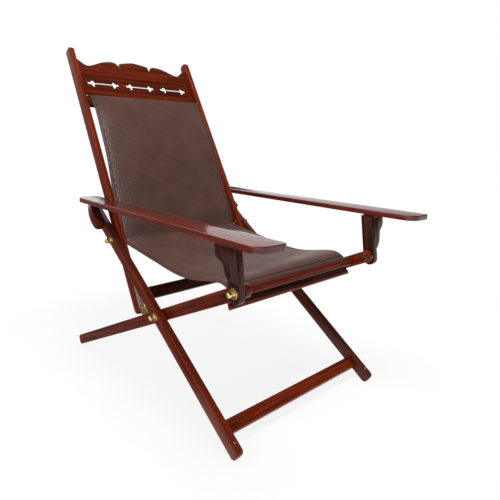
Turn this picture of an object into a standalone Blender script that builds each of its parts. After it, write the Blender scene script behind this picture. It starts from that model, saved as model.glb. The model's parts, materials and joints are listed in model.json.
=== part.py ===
# Folding veranda chair: dark hardwood frame, brass fittings and a leather sling seat.
# X runs across the chair, the sitter faces -Y, and +Z is up. The origin lies on the floor,
# under the middle of the chair's whole depth. All lengths are metres, all angles degrees.
# The side view is laid out on two axes, forward and up, from the middle of the feet.

import math

import bmesh
import bpy
from mathutils import Matrix, Vector

for old_object in list(bpy.data.objects):
    bpy.data.objects.remove(old_object, do_unlink=True)

# Clearances shared by all pieces
seat_gap = 0.0003
layer_gap = 0.0030
cut_overrun = 0.010
arm_side_gap = 0.0015

# Side view: where the feet stand and how the three pairs of bars lean
foot_spread = 0.8360
foot_flat = 0.0004
leg_rise_angle = 36.55
rail_rise_angle = 22.905
stile_rise_angle = 62.36
arm_fall_angle = 2.65
post_lean_angle = 4.7
arm_rear_height = 0.5202
arm_inset = 0.0110

# Legs
leg_width = 0.0321
leg_thickness = 0.018
back_pivot_below_arm = 0.1829
frame_half_width = 0.261
leg_round = 0.0022
leg_top_radius = 0.012
leg_foot_radius = 0.010
leg_below_foot = 0.0128

# Side rails
rail_height = 0.0320
rail_thickness = 0.0162
rail_to_post_pivot = 0.9189
rail_round = 0.0022
rail_foot_radius = 0.010
rail_behind_foot = 0.0135

# Stiles of the back
stile_width = 0.0351
stile_above_pivot = 0.680
stile_foot_gap = 0.0055
stile_top_radius = 0.010
stile_round = 0.0022

# Posts under the arms' front
post_width = 0.034
post_below_pivot = 0.0258
post_set_back = 0.0015
post_round = 0.0010
post_slot_radius = 0.0080

# Arms
arm_thickness = 0.014
arm_length = 0.8172
arm_width_front = 0.0760
arm_width_rear = 0.0615
arm_rear_radius = 0.027
arm_front_bow = 0.0100
arm_front_radius = 0.012
arm_round = 0.0012

# Carved brackets under the arms
leg_corbel_reach = 0.020
post_corbel_reach = 0.040
post_corbel_depth = 0.020
corbel_gap = 0.0006
leg_corbel_length = 0.1185
post_corbel_above_bolt = 0.0195
corbel_round = 0.0010

# Stretcher between the legs
stretcher_from_foot = 0.0380
stretcher_width = 0.0320
stretcher_thickness = 0.015
stretcher_round = 0.0015

# Front rail of the seat and the batten under it
front_rail_centre = 0.8529
front_rail_depth = 0.042
front_rail_height = 0.021
front_rail_round = 0.0025
batten_front = 0.8484
batten_depth = 0.010
batten_drop = 0.0101
batten_height = 0.0117
batten_neck_depth = 0.006
batten_neck_inset = 0.003

# Cross rails of the back
sling_rail_low = 0.457
sling_rail_width = 0.033
sling_rail_thickness = 0.022
sling_rail_front = 0.018
back_rail_above_foot = 0.032
back_rail_width = 0.035
back_rail_thickness = 0.020
back_rail_inset = 0.0008
cross_rail_round = 0.0025

# Crest board
crest_low = 0.508
crest_height = 0.153
crest_thickness = 0.0145
crest_inset = 0.0205
fret_panel_height = 0.0645
fret_panel_thickness = 0.005
crest_round = 0.0012
fret_length_share = 0.521
fret_spacing_share = 0.629
fret_height = 0.0474
fret_head_length = 0.026
fret_head_width = 0.029
fret_slot_width = 0.0070

# Pivot bolts with a flange and a ball outside and a nut inside
bolt_radius = 0.0040
bolt_hole_gap = 0.0003
flange_radius = 0.0125
flange_thickness = 0.0030
flange_edge = 0.0008
neck_radius = 0.0046
neck_length = 0.0040
ball_radius = 0.0072
nut_radius = 0.0105
nut_thickness = 0.0055
nut_chamfer = 0.0008
bolt_end = 0.0012
washer_radius = 0.0100

# Butt hinges under the arms
leaf_thickness = 0.0016
leaf_length = 0.026
leaf_width = 0.0180
knuckle_radius = 0.0038
knuckle_gap = 0.0003
hinge_pin_radius = 0.0014

# Brass at the foot of each stile
foot_plate_thickness = 0.0020
foot_plate_length = 0.066
foot_plate_end = 0.011
foot_plate_edge = 0.0010
stop_length = 0.046
stop_height = 0.020
stop_nose_height = 0.009
stop_width = 0.0165
stop_round = 0.0012

# Screws at the front feet
foot_screw_along = 0.0143
foot_screw_radius = 0.0036
foot_screw_height = 0.0016

# Leather sling
sling_side_gap = 0.0065
sling_thickness = 0.0030
sling_gap = 0.0004
sling_billow = 0.026
sling_belly = 0.007
sling_tail = 0.028
sling_hem_inset = 0.0015

# Facet counts
round_sides = 20
arc_steps = 6
ball_steps = 6
bend_steps = 4
sling_columns = 10


def heading(degrees):
    # unit vector in the side view, forward = 0 degrees and up = 90 degrees
    return Vector((math.cos(math.radians(degrees)), math.sin(math.radians(degrees))))


def turned_left(vector):
    # the same vector turned a quarter turn from forward towards up
    return Vector((-vector.y, vector.x))


def crossing(point, direction, other_point, other_direction):
    # where two lines of the side view cross
    offset = other_point - point
    spread = direction.cross(other_direction)
    return point + direction * (offset.cross(other_direction) / spread)


def arc(centre, radius, start, end, steps):
    # points along an arc, from one angle to another
    angles = [start + (end - start) * step / steps for step in range(steps + 1)]
    return [centre + heading(angle) * radius for angle in angles]


def filleted(corners, radii, steps):
    # an outline whose corners are rounded, each by its own radius
    points = []
    count = len(corners)
    for index, corner in enumerate(corners):
        radius = radii[index]
        if radius == 0:
            points.append(corner.copy())
            continue
        back = (corners[index - 1] - corner).normalized()
        ahead = (corners[(index + 1) % count] - corner).normalized()
        half = back.angle(ahead) / 2
        reach = radius / math.tan(half)
        middle = corner + (back + ahead).normalized() * (radius / math.sin(half))
        first = corner + back * reach - middle
        last = corner + ahead * reach - middle
        sweep = math.atan2(first.cross(last), first.dot(last))
        for step in range(steps + 1):
            turn = Matrix.Rotation(sweep * step / steps, 2)
            points.append(middle + turn @ first)
    return points


# Directions of the bars in the side view, and the side of each that looks forward or up
leg_dir = heading(180 - leg_rise_angle)
leg_front = -turned_left(leg_dir)
rail_dir = heading(rail_rise_angle)
rail_up = turned_left(rail_dir)
stile_dir = heading(180 - stile_rise_angle)
stile_front = -turned_left(stile_dir)
arm_dir = heading(-arm_fall_angle)
arm_up = turned_left(arm_dir)
post_dir = heading(90 + post_lean_angle)
post_front = -turned_left(post_dir)

# Feet and pivots in the side view
front_foot = Vector((foot_spread / 2, leg_width / 2 - foot_flat))
rear_foot = Vector((-foot_spread / 2, rail_height / 2 - foot_flat))
scissor_pivot = crossing(front_foot, leg_dir, rear_foot, rail_dir)
post_pivot = rear_foot + rail_dir * rail_to_post_pivot
leg_reach = (arm_rear_height - arm_dir.y * arm_inset - front_foot.y) / leg_dir.y
leg_top = front_foot + leg_dir * leg_reach
arm_rear = leg_top + arm_dir * arm_inset
back_pivot = leg_top - leg_dir * back_pivot_below_arm
post_axis = post_pivot - post_front * post_set_back
post_top = crossing(post_axis, post_dir, arm_rear, arm_dir)
post_corbel_length = (post_top - post_pivot).dot(post_dir) - post_corbel_above_bolt

# The stile's foot ends just short of the rail's top face
rail_face = rear_foot + rail_up * (rail_height / 2)
stile_foot = crossing(back_pivot, stile_dir, rail_face, rail_dir)
stile_below_pivot = (back_pivot - stile_foot).length - stile_foot_gap
back_rail_low = back_rail_above_foot - stile_below_pivot

# The leaves of a hinge and their gaps lie between an arm and the piece under it
hinge_stack = 2 * leaf_thickness + 3 * seat_gap
hinge_drop = knuckle_radius + seat_gap
under_arm = arm_rear - arm_up * hinge_stack
barrel_line = arm_rear - arm_up * hinge_drop
leg_corner = crossing(front_foot + leg_front * (leg_width / 2), leg_dir, under_arm, arm_dir)
post_corner = crossing(post_axis + post_front * (post_width / 2), post_dir, under_arm, arm_dir)


def barrel_centre(face_point, face_dir, face_normal):
    # the barrel lies on its line under the arm, one radius and a gap in front of the face
    clear_point = face_point + face_normal * (knuckle_radius + seat_gap)
    return crossing(clear_point, face_dir, barrel_line, arm_dir)


rear_hinge = barrel_centre(leg_corner, leg_dir, leg_front)
front_hinge = barrel_centre(post_corner, post_dir, post_front)

# The chair's depth runs from the stiles' tops to the arms' tips, and its middle is the origin
stile_tip = (back_pivot + stile_dir * (stile_above_pivot - stile_top_radius)
             - stile_front * (stile_width / 2 - stile_top_radius))
arm_tip = arm_rear + arm_dir * arm_length
depth_middle = (stile_tip.x - stile_top_radius + arm_tip.x) / 2

# Layers across the chair, as distances from its middle
leg_outer = frame_half_width
leg_inner = leg_outer - leg_thickness
rail_outer = leg_inner - layer_gap
rail_inner = rail_outer - rail_thickness
arm_inner = rail_outer + arm_side_gap
layer_middle = (leg_outer + leg_inner) / 2
inner_layer_middle = (rail_outer + rail_inner) / 2
sling_half_width = rail_inner - sling_side_gap


def make_material(name, colour, roughness, metallic):
    material = bpy.data.materials.new(name)
    material.use_nodes = True
    shader = material.node_tree.nodes["Principled BSDF"]
    shader.inputs["Base Color"].default_value = (*colour, 1.0)
    shader.inputs["Roughness"].default_value = roughness
    shader.inputs["Metallic"].default_value = metallic
    return material


wood = make_material("polished_rosewood", (0.085, 0.018, 0.012), 0.28, 0.0)
wood_arm = make_material("polished_rosewood_arm", (0.110, 0.026, 0.018), 0.22, 0.0)
wood_carved = make_material("carved_rosewood", (0.120, 0.022, 0.012), 0.32, 0.0)
brass = make_material("aged_brass", (0.610, 0.380, 0.120), 0.30, 1.0)
leather = make_material("brown_leather", (0.098, 0.058, 0.050), 0.48, 0.0)


def in_space(point, across=0):
    # a side-view point placed in the chair's own frame
    return Vector((across, depth_middle - point.x, point.y))


def pointing(direction):
    # a side-view direction in the chair's own frame
    return Vector((0, -direction.x, direction.y))


def carrier(name, side_point, across):
    # an empty on a joint's axis, which carries the pieces that turn about it
    empty = bpy.data.objects.new(name, None)
    bpy.context.scene.collection.objects.link(empty)
    empty.empty_display_size = leg_width
    empty.location = in_space(side_point, across)
    return empty


leg_carrier = carrier("leg_frame_origin", Vector((depth_middle, 0)), 0)
seat_carrier = carrier("seat_frame_pivot", scissor_pivot, 0)
back_carrier = carrier("back_frame_pivot", back_pivot, 0)
arm_carriers = {1: carrier("arm_left_hinge", rear_hinge, layer_middle),
                -1: carrier("arm_right_hinge", rear_hinge, -layer_middle)}
post_carriers = {1: carrier("post_left_hinge", front_hinge, layer_middle),
                 -1: carrier("post_right_hinge", front_hinge, -layer_middle)}
side_names = {1: "left", -1: "right"}


def finish(name, shape, holder, material, rounding=0, segments=2):
    # the mesh is moved into its carrier's frame, shaded, rounded and parented
    bmesh.ops.recalc_face_normals(shape, faces=shape.faces)
    bmesh.ops.translate(shape, verts=shape.verts, vec=-holder.location)
    mesh = bpy.data.meshes.new(name)
    shape.to_mesh(mesh)
    shape.free()
    mesh.materials.append(material)
    mesh.shade_smooth()
    mesh.set_sharp_from_angle(angle=math.radians(32))
    item = bpy.data.objects.new(name, mesh)
    bpy.context.scene.collection.objects.link(item)
    item.parent = holder
    if rounding:
        bevel = item.modifiers.new("rounded_edges", "BEVEL")
        bevel.width = rounding
        bevel.segments = segments
        bevel.limit_method = "ANGLE"
        bevel.angle_limit = math.radians(38)
    return item


def extruded(outline, origin, along, up, low, high):
    # an outline drawn on two axes, thickened along the third
    depth = along.cross(up)
    shape = bmesh.new()
    corners = [origin + along * point.x + up * point.y + depth * low for point in outline]
    face = shape.faces.new([shape.verts.new(corner) for corner in corners])
    grown = bmesh.ops.extrude_face_region(shape, geom=[face])
    moved = [part for part in grown["geom"] if isinstance(part, bmesh.types.BMVert)]
    bmesh.ops.translate(shape, verts=moved, vec=depth * (high - low))
    return shape


def on_floor(shape):
    # a round foot worn flat where it stands
    return trimmed(shape, Vector((0, 0, 0)), Vector((0, 0, -1)))


def side_slab(outline, inner, outer, side):
    # a board that lies in the side view, between two distances from the middle
    placed = [in_space(point) for point in outline]
    flat = [Vector((point.y, point.z)) for point in placed]
    low, high = sorted((side * inner, side * outer))
    return extruded(flat, Vector((0, 0, 0)), Vector((0, 1, 0)), Vector((0, 0, 1)), low, high)


def trimmed(shape, point, normal):
    # cuts off what lies beyond a plane and closes the cut
    geometry = shape.verts[:] + shape.edges[:] + shape.faces[:]
    cut = bmesh.ops.bisect_plane(shape, geom=geometry, plane_co=point, plane_no=normal,
                                 clear_outer=True)
    rim = [part for part in cut["geom_cut"] if isinstance(part, bmesh.types.BMEdge)]
    bmesh.ops.contextual_create(shape, geom=rim)
    return shape


def spun(profile, centre, side, closed=False, sides=round_sides, corners=0):
    # a profile of radius and distance from the middle, turned about a pivot's axis;
    # with corners, the outer radius follows a polygon with that many corners
    shape = bmesh.new()
    rings = []
    widest = max(radius for radius, across in profile)
    for radius, across in profile:
        ring = []
        for step in range(sides):
            angle = 2 * math.pi * step / sides
            reach = radius
            if corners and radius > widest / 2:
                sector = math.pi / corners
                reach = radius * math.cos(sector) / math.cos((angle % (2 * sector)) - sector)
            offset = heading(math.degrees(angle)) * reach
            ring.append(shape.verts.new(in_space(centre + offset, side * across)))
            if radius == 0:
                break
        rings.append(ring)
    pairs = list(zip(rings, rings[1:]))
    if closed:
        pairs.append((rings[-1], rings[0]))
    for first, second in pairs:
        for step in range(sides):
            ahead = (step + 1) % sides
            if len(first) == 1:
                shape.faces.new((first[0], second[step], second[ahead]))
            elif len(second) == 1:
                shape.faces.new((first[step], first[ahead], second[0]))
            else:
                shape.faces.new((first[step], first[ahead], second[ahead], second[step]))
    return shape


def cutter(name, shape):
    # a guide that only cuts
    mesh = bpy.data.meshes.new(name)
    bmesh.ops.recalc_face_normals(shape, faces=shape.faces)
    shape.to_mesh(mesh)
    shape.free()
    guide = bpy.data.objects.new(name, mesh)
    bpy.context.scene.collection.objects.link(guide)
    guide.hide_render = True
    guide.display_type = "WIRE"
    return guide


def cut(item, guide):
    step = item.modifiers.new("cut_" + guide.name, "BOOLEAN")
    step.operation = "DIFFERENCE"
    step.solver = "EXACT"
    step.object = guide


def pivot_drill(name, centre, radius):
    # a drill that crosses the whole chair on one pivot
    reach = leg_outer + cut_overrun
    profile = [(0, -reach), (radius, -reach), (radius, reach), (0, reach)]
    return cutter(name, spun(profile, centre, 1))


bolt_hole_radius = bolt_radius + bolt_hole_gap
scissor_drill = pivot_drill("scissor_drill", scissor_pivot, bolt_hole_radius)
back_drill = pivot_drill("back_drill", back_pivot, bolt_hole_radius)
post_drill = pivot_drill("post_drill", post_pivot, bolt_hole_radius)
post_slot_drill = pivot_drill("post_slot_drill", post_pivot, post_slot_radius)


def leg_outline():
    # foot with rounded corners, straight edges, top cut parallel to the arm
    half = leg_front * (leg_width / 2)
    foot = front_foot - leg_dir * leg_below_foot
    rear_corner = crossing(front_foot - half, leg_dir, under_arm, arm_dir)
    corners = [foot - half, foot + half, leg_corner, rear_corner]
    return filleted(corners, [leg_foot_radius, leg_foot_radius, 0, leg_top_radius], arc_steps)


def bar_outline(pivot, direction, behind, ahead, width, start_radius, end_radius):
    # a straight bar through a pivot, with its own corner radius at each end
    normal = turned_left(direction)
    start = pivot - direction * behind
    end = pivot + direction * ahead
    half = normal * (width / 2)
    corners = [start - half, end - half, end + half, start + half]
    radii = [start_radius, end_radius, end_radius, start_radius]
    outline = []
    for point in filleted(corners, radii, arc_steps):
        if not outline or (point - outline[-1]).length > foot_flat / 2:
            outline.append(point)
    if (outline[0] - outline[-1]).length < foot_flat / 2:
        outline.pop()
    return outline


for side in (1, -1):
    label = side_names[side]

    # Leg, one straight bar from the front foot up to the arm's rear end
    shape = on_floor(side_slab(leg_outline(), leg_inner, leg_outer, side))
    leg = finish("leg_" + label, shape, leg_carrier, wood, leg_round)
    cut(leg, scissor_drill)
    cut(leg, back_drill)

    # Side rail, from the rear foot up to the post
    half = rail_height / 2
    outline = bar_outline(rear_foot, rail_dir, rail_behind_foot,
                          rail_to_post_pivot + rail_height / 2, rail_height,
                          rail_foot_radius, half)
    shape = on_floor(side_slab(outline, rail_inner, rail_outer, side))
    rail = finish("side_rail_" + label, shape, seat_carrier, wood, rail_round)
    cut(rail, scissor_drill)
    cut(rail, post_drill)

    # Stile of the back, from its foot above the rail up past the crest
    outline = bar_outline(back_pivot, stile_dir, stile_below_pivot, stile_above_pivot,
                          stile_width, stile_width / 2, stile_top_radius)
    stile = finish("stile_" + label, side_slab(outline, rail_inner, rail_outer, side),
                   back_carrier, wood, stile_round)
    cut(stile, back_drill)

    # Post under the arm's front, slotted over its bolt
    half = post_width / 2
    rear_corner = crossing(post_axis - post_front * half, post_dir, under_arm, arm_dir)
    centre = post_axis - post_dir * (post_below_pivot - half)
    foot = arc(centre, half, post_lean_angle - 180, post_lean_angle, 2 * arc_steps)
    outline = foot + [post_corner, rear_corner]
    post = finish("post_" + label, side_slab(outline, leg_inner, leg_outer, side),
                  post_carriers[side], wood, post_round)
    cut(post, post_slot_drill)

# Leg stretcher, a flat board between the legs near the front feet
along = pointing(leg_dir)
stretcher_half = leg_inner - seat_gap
low = stretcher_from_foot
high = stretcher_from_foot + stretcher_width
outline = [Vector((-stretcher_half, low)), Vector((stretcher_half, low)),
           Vector((stretcher_half, high)), Vector((-stretcher_half, high))]
shape = extruded(outline, in_space(front_foot), Vector((1, 0, 0)), along,
                 -stretcher_thickness, 0)
if Vector((1, 0, 0)).cross(along).dot(pointing(leg_front)) < 0:
    bmesh.ops.translate(shape, verts=shape.verts, vec=-pointing(leg_front) * stretcher_thickness)
finish("leg_stretcher", shape, leg_carrier, wood, stretcher_round)


def cross_board(outline, base, direction, front, front_face, thickness):
    # a board that runs across the chair: outline of across and along, face to the front
    across = Vector((1, 0, 0))
    up = pointing(direction)
    depth = across.cross(up)
    faces_front = depth.dot(pointing(front)) > 0
    low = front_face - thickness if faces_front else -front_face
    return extruded(outline, in_space(base), across, up, low, low + thickness)


def rectangle(half, low, high):
    return [Vector((-half, low)), Vector((half, low)), Vector((half, high)), Vector((-half, high))]


rail_span = rail_inner - seat_gap
fret_length = fret_length_share * rail_span
fret_spacing = fret_spacing_share * rail_span

# Front rail of the seat
rail_origin = rear_foot + rail_dir * front_rail_centre
shape = cross_board(rectangle(rail_span, -front_rail_depth / 2, front_rail_depth / 2),
                    rail_origin, rail_dir, rail_up, front_rail_height / 2, front_rail_height)
finish("front_rail", shape, seat_carrier, wood, front_rail_round)


def rail_point(along_rail, above_rail):
    # a side-view point measured along a side rail from its foot and above its axis
    return rear_foot + rail_dir * along_rail + rail_up * above_rail


# Batten under the front rail, one piece with its set-back neck
top = -front_rail_height / 2 - seat_gap
shoulder = -front_rail_height / 2 - batten_drop
bottom = shoulder - batten_height
neck_front = batten_front - batten_neck_inset
neck_rear = neck_front - batten_neck_depth
batten_rear = batten_front - batten_depth
outline = [rail_point(neck_front, top), rail_point(neck_rear, top),
           rail_point(neck_rear, shoulder), rail_point(batten_rear, shoulder),
           rail_point(batten_rear, bottom), rail_point(batten_front, bottom),
           rail_point(batten_front, shoulder), rail_point(neck_front, shoulder)]
edge = batten_height / 4
outline = filleted(outline, [0, 0, 0, edge, edge, edge, edge, 0], 2)
finish("front_batten", side_slab(outline, -rail_span, rail_span, 1), seat_carrier, wood)


def across_bevel(item_name, width):
    # rounds only the ends of a piece that runs across the chair
    item = bpy.data.objects[item_name]
    bevel = item.modifiers.new("rounded_ends", "BEVEL")
    bevel.width = width
    bevel.segments = 2
    bevel.limit_method = "ANGLE"
    bevel.angle_limit = math.radians(60)


across_bevel("front_batten", stop_round)

# Cross rails of the back: one carries the sling, one ties the stiles below the seat
shape = cross_board(rectangle(rail_span, sling_rail_low, sling_rail_low + sling_rail_width),
                    back_pivot, stile_dir, stile_front, sling_rail_front, sling_rail_thickness)
finish("sling_rail", shape, back_carrier, wood, cross_rail_round)
shape = cross_board(rectangle(rail_span, back_rail_low, back_rail_low + back_rail_width),
                    back_pivot, stile_dir, stile_front, stile_width / 2 - back_rail_inset,
                    back_rail_thickness)
finish("back_lower_rail", shape, back_carrier, wood, cross_rail_round)

# Crest board: scrolled top edge, given as shares of half the span and of the height
crest_top_shares = [(1.0, 0.955), (0.955, 0.922), (0.910, 0.865), (0.863, 0.802), (0.814, 0.768),
                    (0.750, 0.785), (0.686, 0.825), (0.594, 0.886), (0.512, 0.928),
                    (0.413, 0.952), (0.350, 0.944), (0.312, 0.915), (0.292, 0.862),
                    (0.281, 0.800), (0.262, 0.800), (0.256, 0.928), (0.165, 0.962),
                    (0.075, 0.986)]
half_top = [Vector((share * rail_span, crest_low + height * crest_height))
            for share, height in crest_top_shares]
left_top = [Vector((-point.x, point.y)) for point in reversed(half_top)]
panel_top = crest_low + fret_panel_height
crest_foot = panel_top + seat_gap
crest_outline = [Vector((-rail_span, crest_foot)), Vector((rail_span, crest_foot))]
crest_outline += half_top + [Vector((0, crest_low + crest_height))] + left_top
crest_front = stile_width / 2 - crest_inset
shape = cross_board(crest_outline, back_pivot, stile_dir, stile_front, crest_front,
                    crest_thickness)
finish("crest_rail", shape, back_carrier, wood_carved, crest_round, 1)

# Thin panel under the crest board, with its face level with the board's
shape = cross_board(rectangle(rail_span, crest_low, panel_top), back_pivot, stile_dir,
                    stile_front, crest_front, fret_panel_thickness)
fret_panel = finish("fret_panel", shape, back_carrier, wood_carved, crest_round, 1)

# Three fretted slots, each with a spear head at both ends
fret_head_shares = [(0.0, 1.0), (0.16, 0.40), (0.38, 0.30), (0.56, 0.50), (0.70, 1.0),
                    (0.92, 1.0), (1.0, 0.55)]


def fret_outline(middle):
    # shares run from the tip inward, then across from the centre line
    quarter = [Vector((0, 0))]
    for inward, wide in fret_head_shares[1:]:
        quarter.append(Vector((inward * fret_head_length, wide * fret_head_width / 2)))
    quarter.append(Vector((fret_head_length, fret_slot_width / 2)))
    right = [Vector((fret_length / 2 - point.x, point.y)) for point in quarter]
    upper = right + [Vector((-point.x, point.y)) for point in reversed(right)]
    lower = [Vector((point.x, -point.y)) for point in reversed(upper)]
    ring = upper + lower[1:-1]
    rise = crest_low + fret_height
    return [Vector((point.x + middle, point.y + rise)) for point in reversed(ring)]


for number, step in enumerate((-1, 0, 1), start=1):
    shape = cross_board(fret_outline(step * fret_spacing), back_pivot, stile_dir, stile_front,
                        crest_front + cut_overrun, crest_thickness + 2 * cut_overrun)
    cut(fret_panel, cutter("fret_cutter_" + str(number), shape))

# Arms: boards with a round rear end and a skewed front end, widest at the front;
# shares of the width from the inner edge, and of the bow behind the tip
arm_front_shares = [(0.72, 0.0), (0.50, 0.28), (0.28, 0.62)]
for side in (1, -1):
    label = side_names[side]
    origin = in_space(arm_rear)
    forward = pointing(arm_dir)
    outer_front = arm_inner + arm_width_front
    outer_rear = arm_inner + arm_width_rear
    corners = [Vector((arm_inner, 0)), Vector((outer_rear, 0)),
               Vector((outer_front, arm_length - arm_front_bow / 2))]
    radii = [arm_rear_radius, arm_rear_radius, arm_front_radius]
    for across_share, bow_share in arm_front_shares:
        bow = arm_length - arm_front_bow * bow_share
        corners.append(Vector((arm_inner + across_share * arm_width_front, bow)))
        radii.append(0)
    corners.append(Vector((arm_inner, arm_length - arm_front_bow)))
    radii.append(arm_front_radius)
    outline = [Vector((side * point.x, point.y)) for point in filleted(corners, radii, arc_steps)]
    across = Vector((1, 0, 0))
    lift = across.cross(forward).dot(pointing(arm_up))
    low, high = (0, arm_thickness) if lift > 0 else (-arm_thickness, 0)
    shape = extruded(outline, origin, across, forward, low, high)
    finish("arm_" + label, shape, arm_carriers[side], wood_arm, arm_round, 2)

# Brackets under the arms: shares of the length from the top, and of the reach
leg_corbel_shares = [(0.05, 0.0), (0.12, 0.16), (0.20, 0.36), (0.36, 0.65), (0.50, 0.84),
                     (0.66, 0.99), (0.80, 1.0), (0.92, 0.94), (0.97, 0.80), (0.99, 0.60),
                     (1.0, 0.10)]
post_corbel_shares = [(0.0, 1.0), (0.15, 1.0), (0.28, 0.99), (0.36, 0.92), (0.43, 0.76),
                      (0.48, 0.62), (0.54, 0.53), (0.62, 0.49), (0.74, 0.45), (0.84, 0.37),
                      (0.92, 0.24), (0.97, 0.12), (1.0, 0.05)]


def corbel(name, holder, side, top_point, direction, front, front_face, depth, length, reach,
           shares):
    # a broad top is drawn past the arm's underside and then trimmed parallel to it
    inner = leg_outer + seat_gap
    tall = cut_overrun + length / 2
    outline = [Vector((side * inner, -length))]
    if shares[0][1] > 0:
        outline += [Vector((side * inner, tall)),
                    Vector((side * (inner + shares[0][1] * reach), tall))]
    for down, out in shares:
        outline.append(Vector((side * (inner + out * reach), -down * length)))
    if side > 0:
        outline.reverse()
    shape = cross_board(outline, top_point, direction, front, front_face, depth)
    trimmed(shape, in_space(arm_rear - arm_up * corbel_gap), pointing(arm_up))
    return finish(name, shape, holder, wood_carved, corbel_round, 2)


for side in (1, -1):
    label = side_names[side]
    corbel("leg_corbel_" + label, leg_carrier, side, leg_top, leg_dir, leg_front,
           leg_width / 2, leg_width, leg_corbel_length, leg_corbel_reach, leg_corbel_shares)
    corbel("post_corbel_" + label, post_carriers[side], side, post_top, post_dir, post_front,
           post_width / 2, post_corbel_depth, post_corbel_length, post_corbel_reach,
           post_corbel_shares)


def bolt_profile(face):
    # shank from inside the nut, flange on the outer face, neck and ball outside
    inner_end = rail_inner - seat_gap - nut_thickness - bolt_end
    seat = face + seat_gap
    outside = seat + flange_thickness
    profile = [(0, inner_end), (bolt_radius, inner_end), (bolt_radius, seat),
               (flange_radius, seat), (flange_radius, outside - flange_edge),
               (flange_radius - flange_edge, outside)]
    points = []
    angle = math.asin(neck_radius / ball_radius)
    middle = outside + neck_length + ball_radius * math.cos(angle)
    for step in range(ball_steps + 1):
        turn = angle + (math.pi - angle) * step / ball_steps
        points.append((ball_radius * math.sin(turn), middle - ball_radius * math.cos(turn)))
    points[-1] = (0, points[-1][1])
    return profile + [(neck_radius, outside)] + points


def nut_profile():
    outer = rail_inner - seat_gap
    inner = outer - nut_thickness
    bore = bolt_radius + bolt_hole_gap
    return [(bore, inner), (bore, outer), (nut_radius, outer), (nut_radius, inner + nut_chamfer),
            (nut_radius - nut_chamfer, inner)]


def washer_profile():
    bore = bolt_radius + bolt_hole_gap
    return [(bore, rail_outer + seat_gap), (bore, leg_inner - seat_gap),
            (washer_radius, leg_inner - seat_gap), (washer_radius, rail_outer + seat_gap)]


# Three bolts, nuts and washers on each side
pivots = {"back": (back_pivot, leg_carrier), "scissor": (scissor_pivot, leg_carrier),
          "post": (post_pivot, seat_carrier)}
for side in (1, -1):
    label = side_names[side]
    for pivot_name, (pivot, holder) in pivots.items():
        tail = pivot_name + "_" + label
        finish("bolt_" + tail, spun(bolt_profile(leg_outer), pivot, side), holder, brass)
        finish("nut_" + tail, spun(nut_profile(), pivot, side, True, 24, 6), holder, brass)
        finish("washer_" + tail, spun(washer_profile(), pivot, side, True), holder, brass)


def hinge_frame(centre, across):
    # places a point given forward along the arm, up from it, and across
    def place(forward, up, over):
        return in_space(centre + arm_dir * forward + arm_up * up, across + over)
    return place


def leaf_shape(place, plate_low, rear, ring_radius, levels, middle_knuckle):
    # a plate whose edge curls round the barrel: in the middle run, or in the two end runs;
    # the ring is the pin between the end knuckles, or the bore of the middle one
    plate_high = plate_low + leaf_thickness
    clear = -knuckle_radius - knuckle_gap
    low_join = Vector((-math.sqrt(knuckle_radius ** 2 - plate_low ** 2), plate_low))
    high_reach = max(knuckle_radius ** 2 - plate_high ** 2, 0)
    high_join = Vector((-math.sqrt(high_reach), plate_high))
    start = math.degrees(math.atan2(low_join.y, low_join.x))
    end = math.degrees(math.atan2(high_join.y, high_join.x)) + 360
    centre = Vector((0, 0))
    base = [Vector((rear, plate_low)), Vector((clear, plate_low)),
            Vector((clear, plate_high)), Vector((rear, plate_high))]
    wrap = arc(centre, knuckle_radius, start, end, round_sides)
    ring = arc(centre, ring_radius, start, end, round_sides)
    ring.append(heading((end + start + 360) / 2) * ring_radius)
    shape = bmesh.new()
    rows = []
    for number, level in enumerate(levels):
        inside = number in (1, 2)
        curled = inside or not middle_knuckle
        row = {"base": [shape.verts.new(place(point.x, point.y, level)) for point in base]}
        if curled:
            row["wrap"] = [shape.verts.new(place(point.x, point.y, level)) for point in wrap]
        if inside:
            row["ring"] = [shape.verts.new(place(point.x, point.y, level)) for point in ring]
        low, clear_low, clear_high, high = row["base"]
        row["plain"] = row["base"]
        if curled:
            row["curled"] = [low, clear_low] + row["wrap"] + [clear_high, high]
        rows.append(row)
        if number in (0, 3):
            shape.faces.new(row["curled"] if curled else row["plain"])
            continue
        shape.faces.new((clear_low, row["wrap"][0], row["wrap"][-1], clear_high))
        for step in range(round_sides):
            shape.faces.new((row["wrap"][step], row["wrap"][step + 1],
                             row["ring"][step + 1], row["ring"][step]))
        shape.faces.new((row["wrap"][-1], row["wrap"][0], row["ring"][0],
                         row["ring"][-1], row["ring"][-2]))
    for number, (first, second) in enumerate(zip(rows, rows[1:])):
        is_curled = (number == 1) == middle_knuckle
        loops = [(first["curled"], second["curled"]) if is_curled
                 else (first["plain"], second["plain"])]
        if number == 1:
            loops.append((first["ring"], second["ring"]))
        for before, after in loops:
            for index in range(len(before)):
                ahead = (index + 1) % len(before)
                shape.faces.new((before[index], before[ahead], after[ahead], after[index]))
    return shape


def hinge(tag, holder_low, holder_high, side, centre, face_gap):
    # lower leaf with two end knuckles and the pin, upper leaf with the middle knuckle
    place = hinge_frame(centre, side * layer_middle)
    half = leaf_width / 2
    reach = leaf_width / 6
    upper_low = knuckle_radius - leaf_thickness
    lower_low = upper_low - seat_gap - leaf_thickness
    rear = -face_gap - leaf_length
    inner = reach + knuckle_gap
    shape = leaf_shape(place, lower_low, rear, hinge_pin_radius, (-half, -inner, inner, half),
                       False)
    finish(tag + "_lower_leaf_" + side_names[side], shape, holder_low, brass)
    shape = leaf_shape(place, upper_low, rear, hinge_pin_radius + knuckle_gap,
                       (-half, -reach, reach, half), True)
    finish(tag + "_upper_leaf_" + side_names[side], shape, holder_high, brass)


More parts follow.
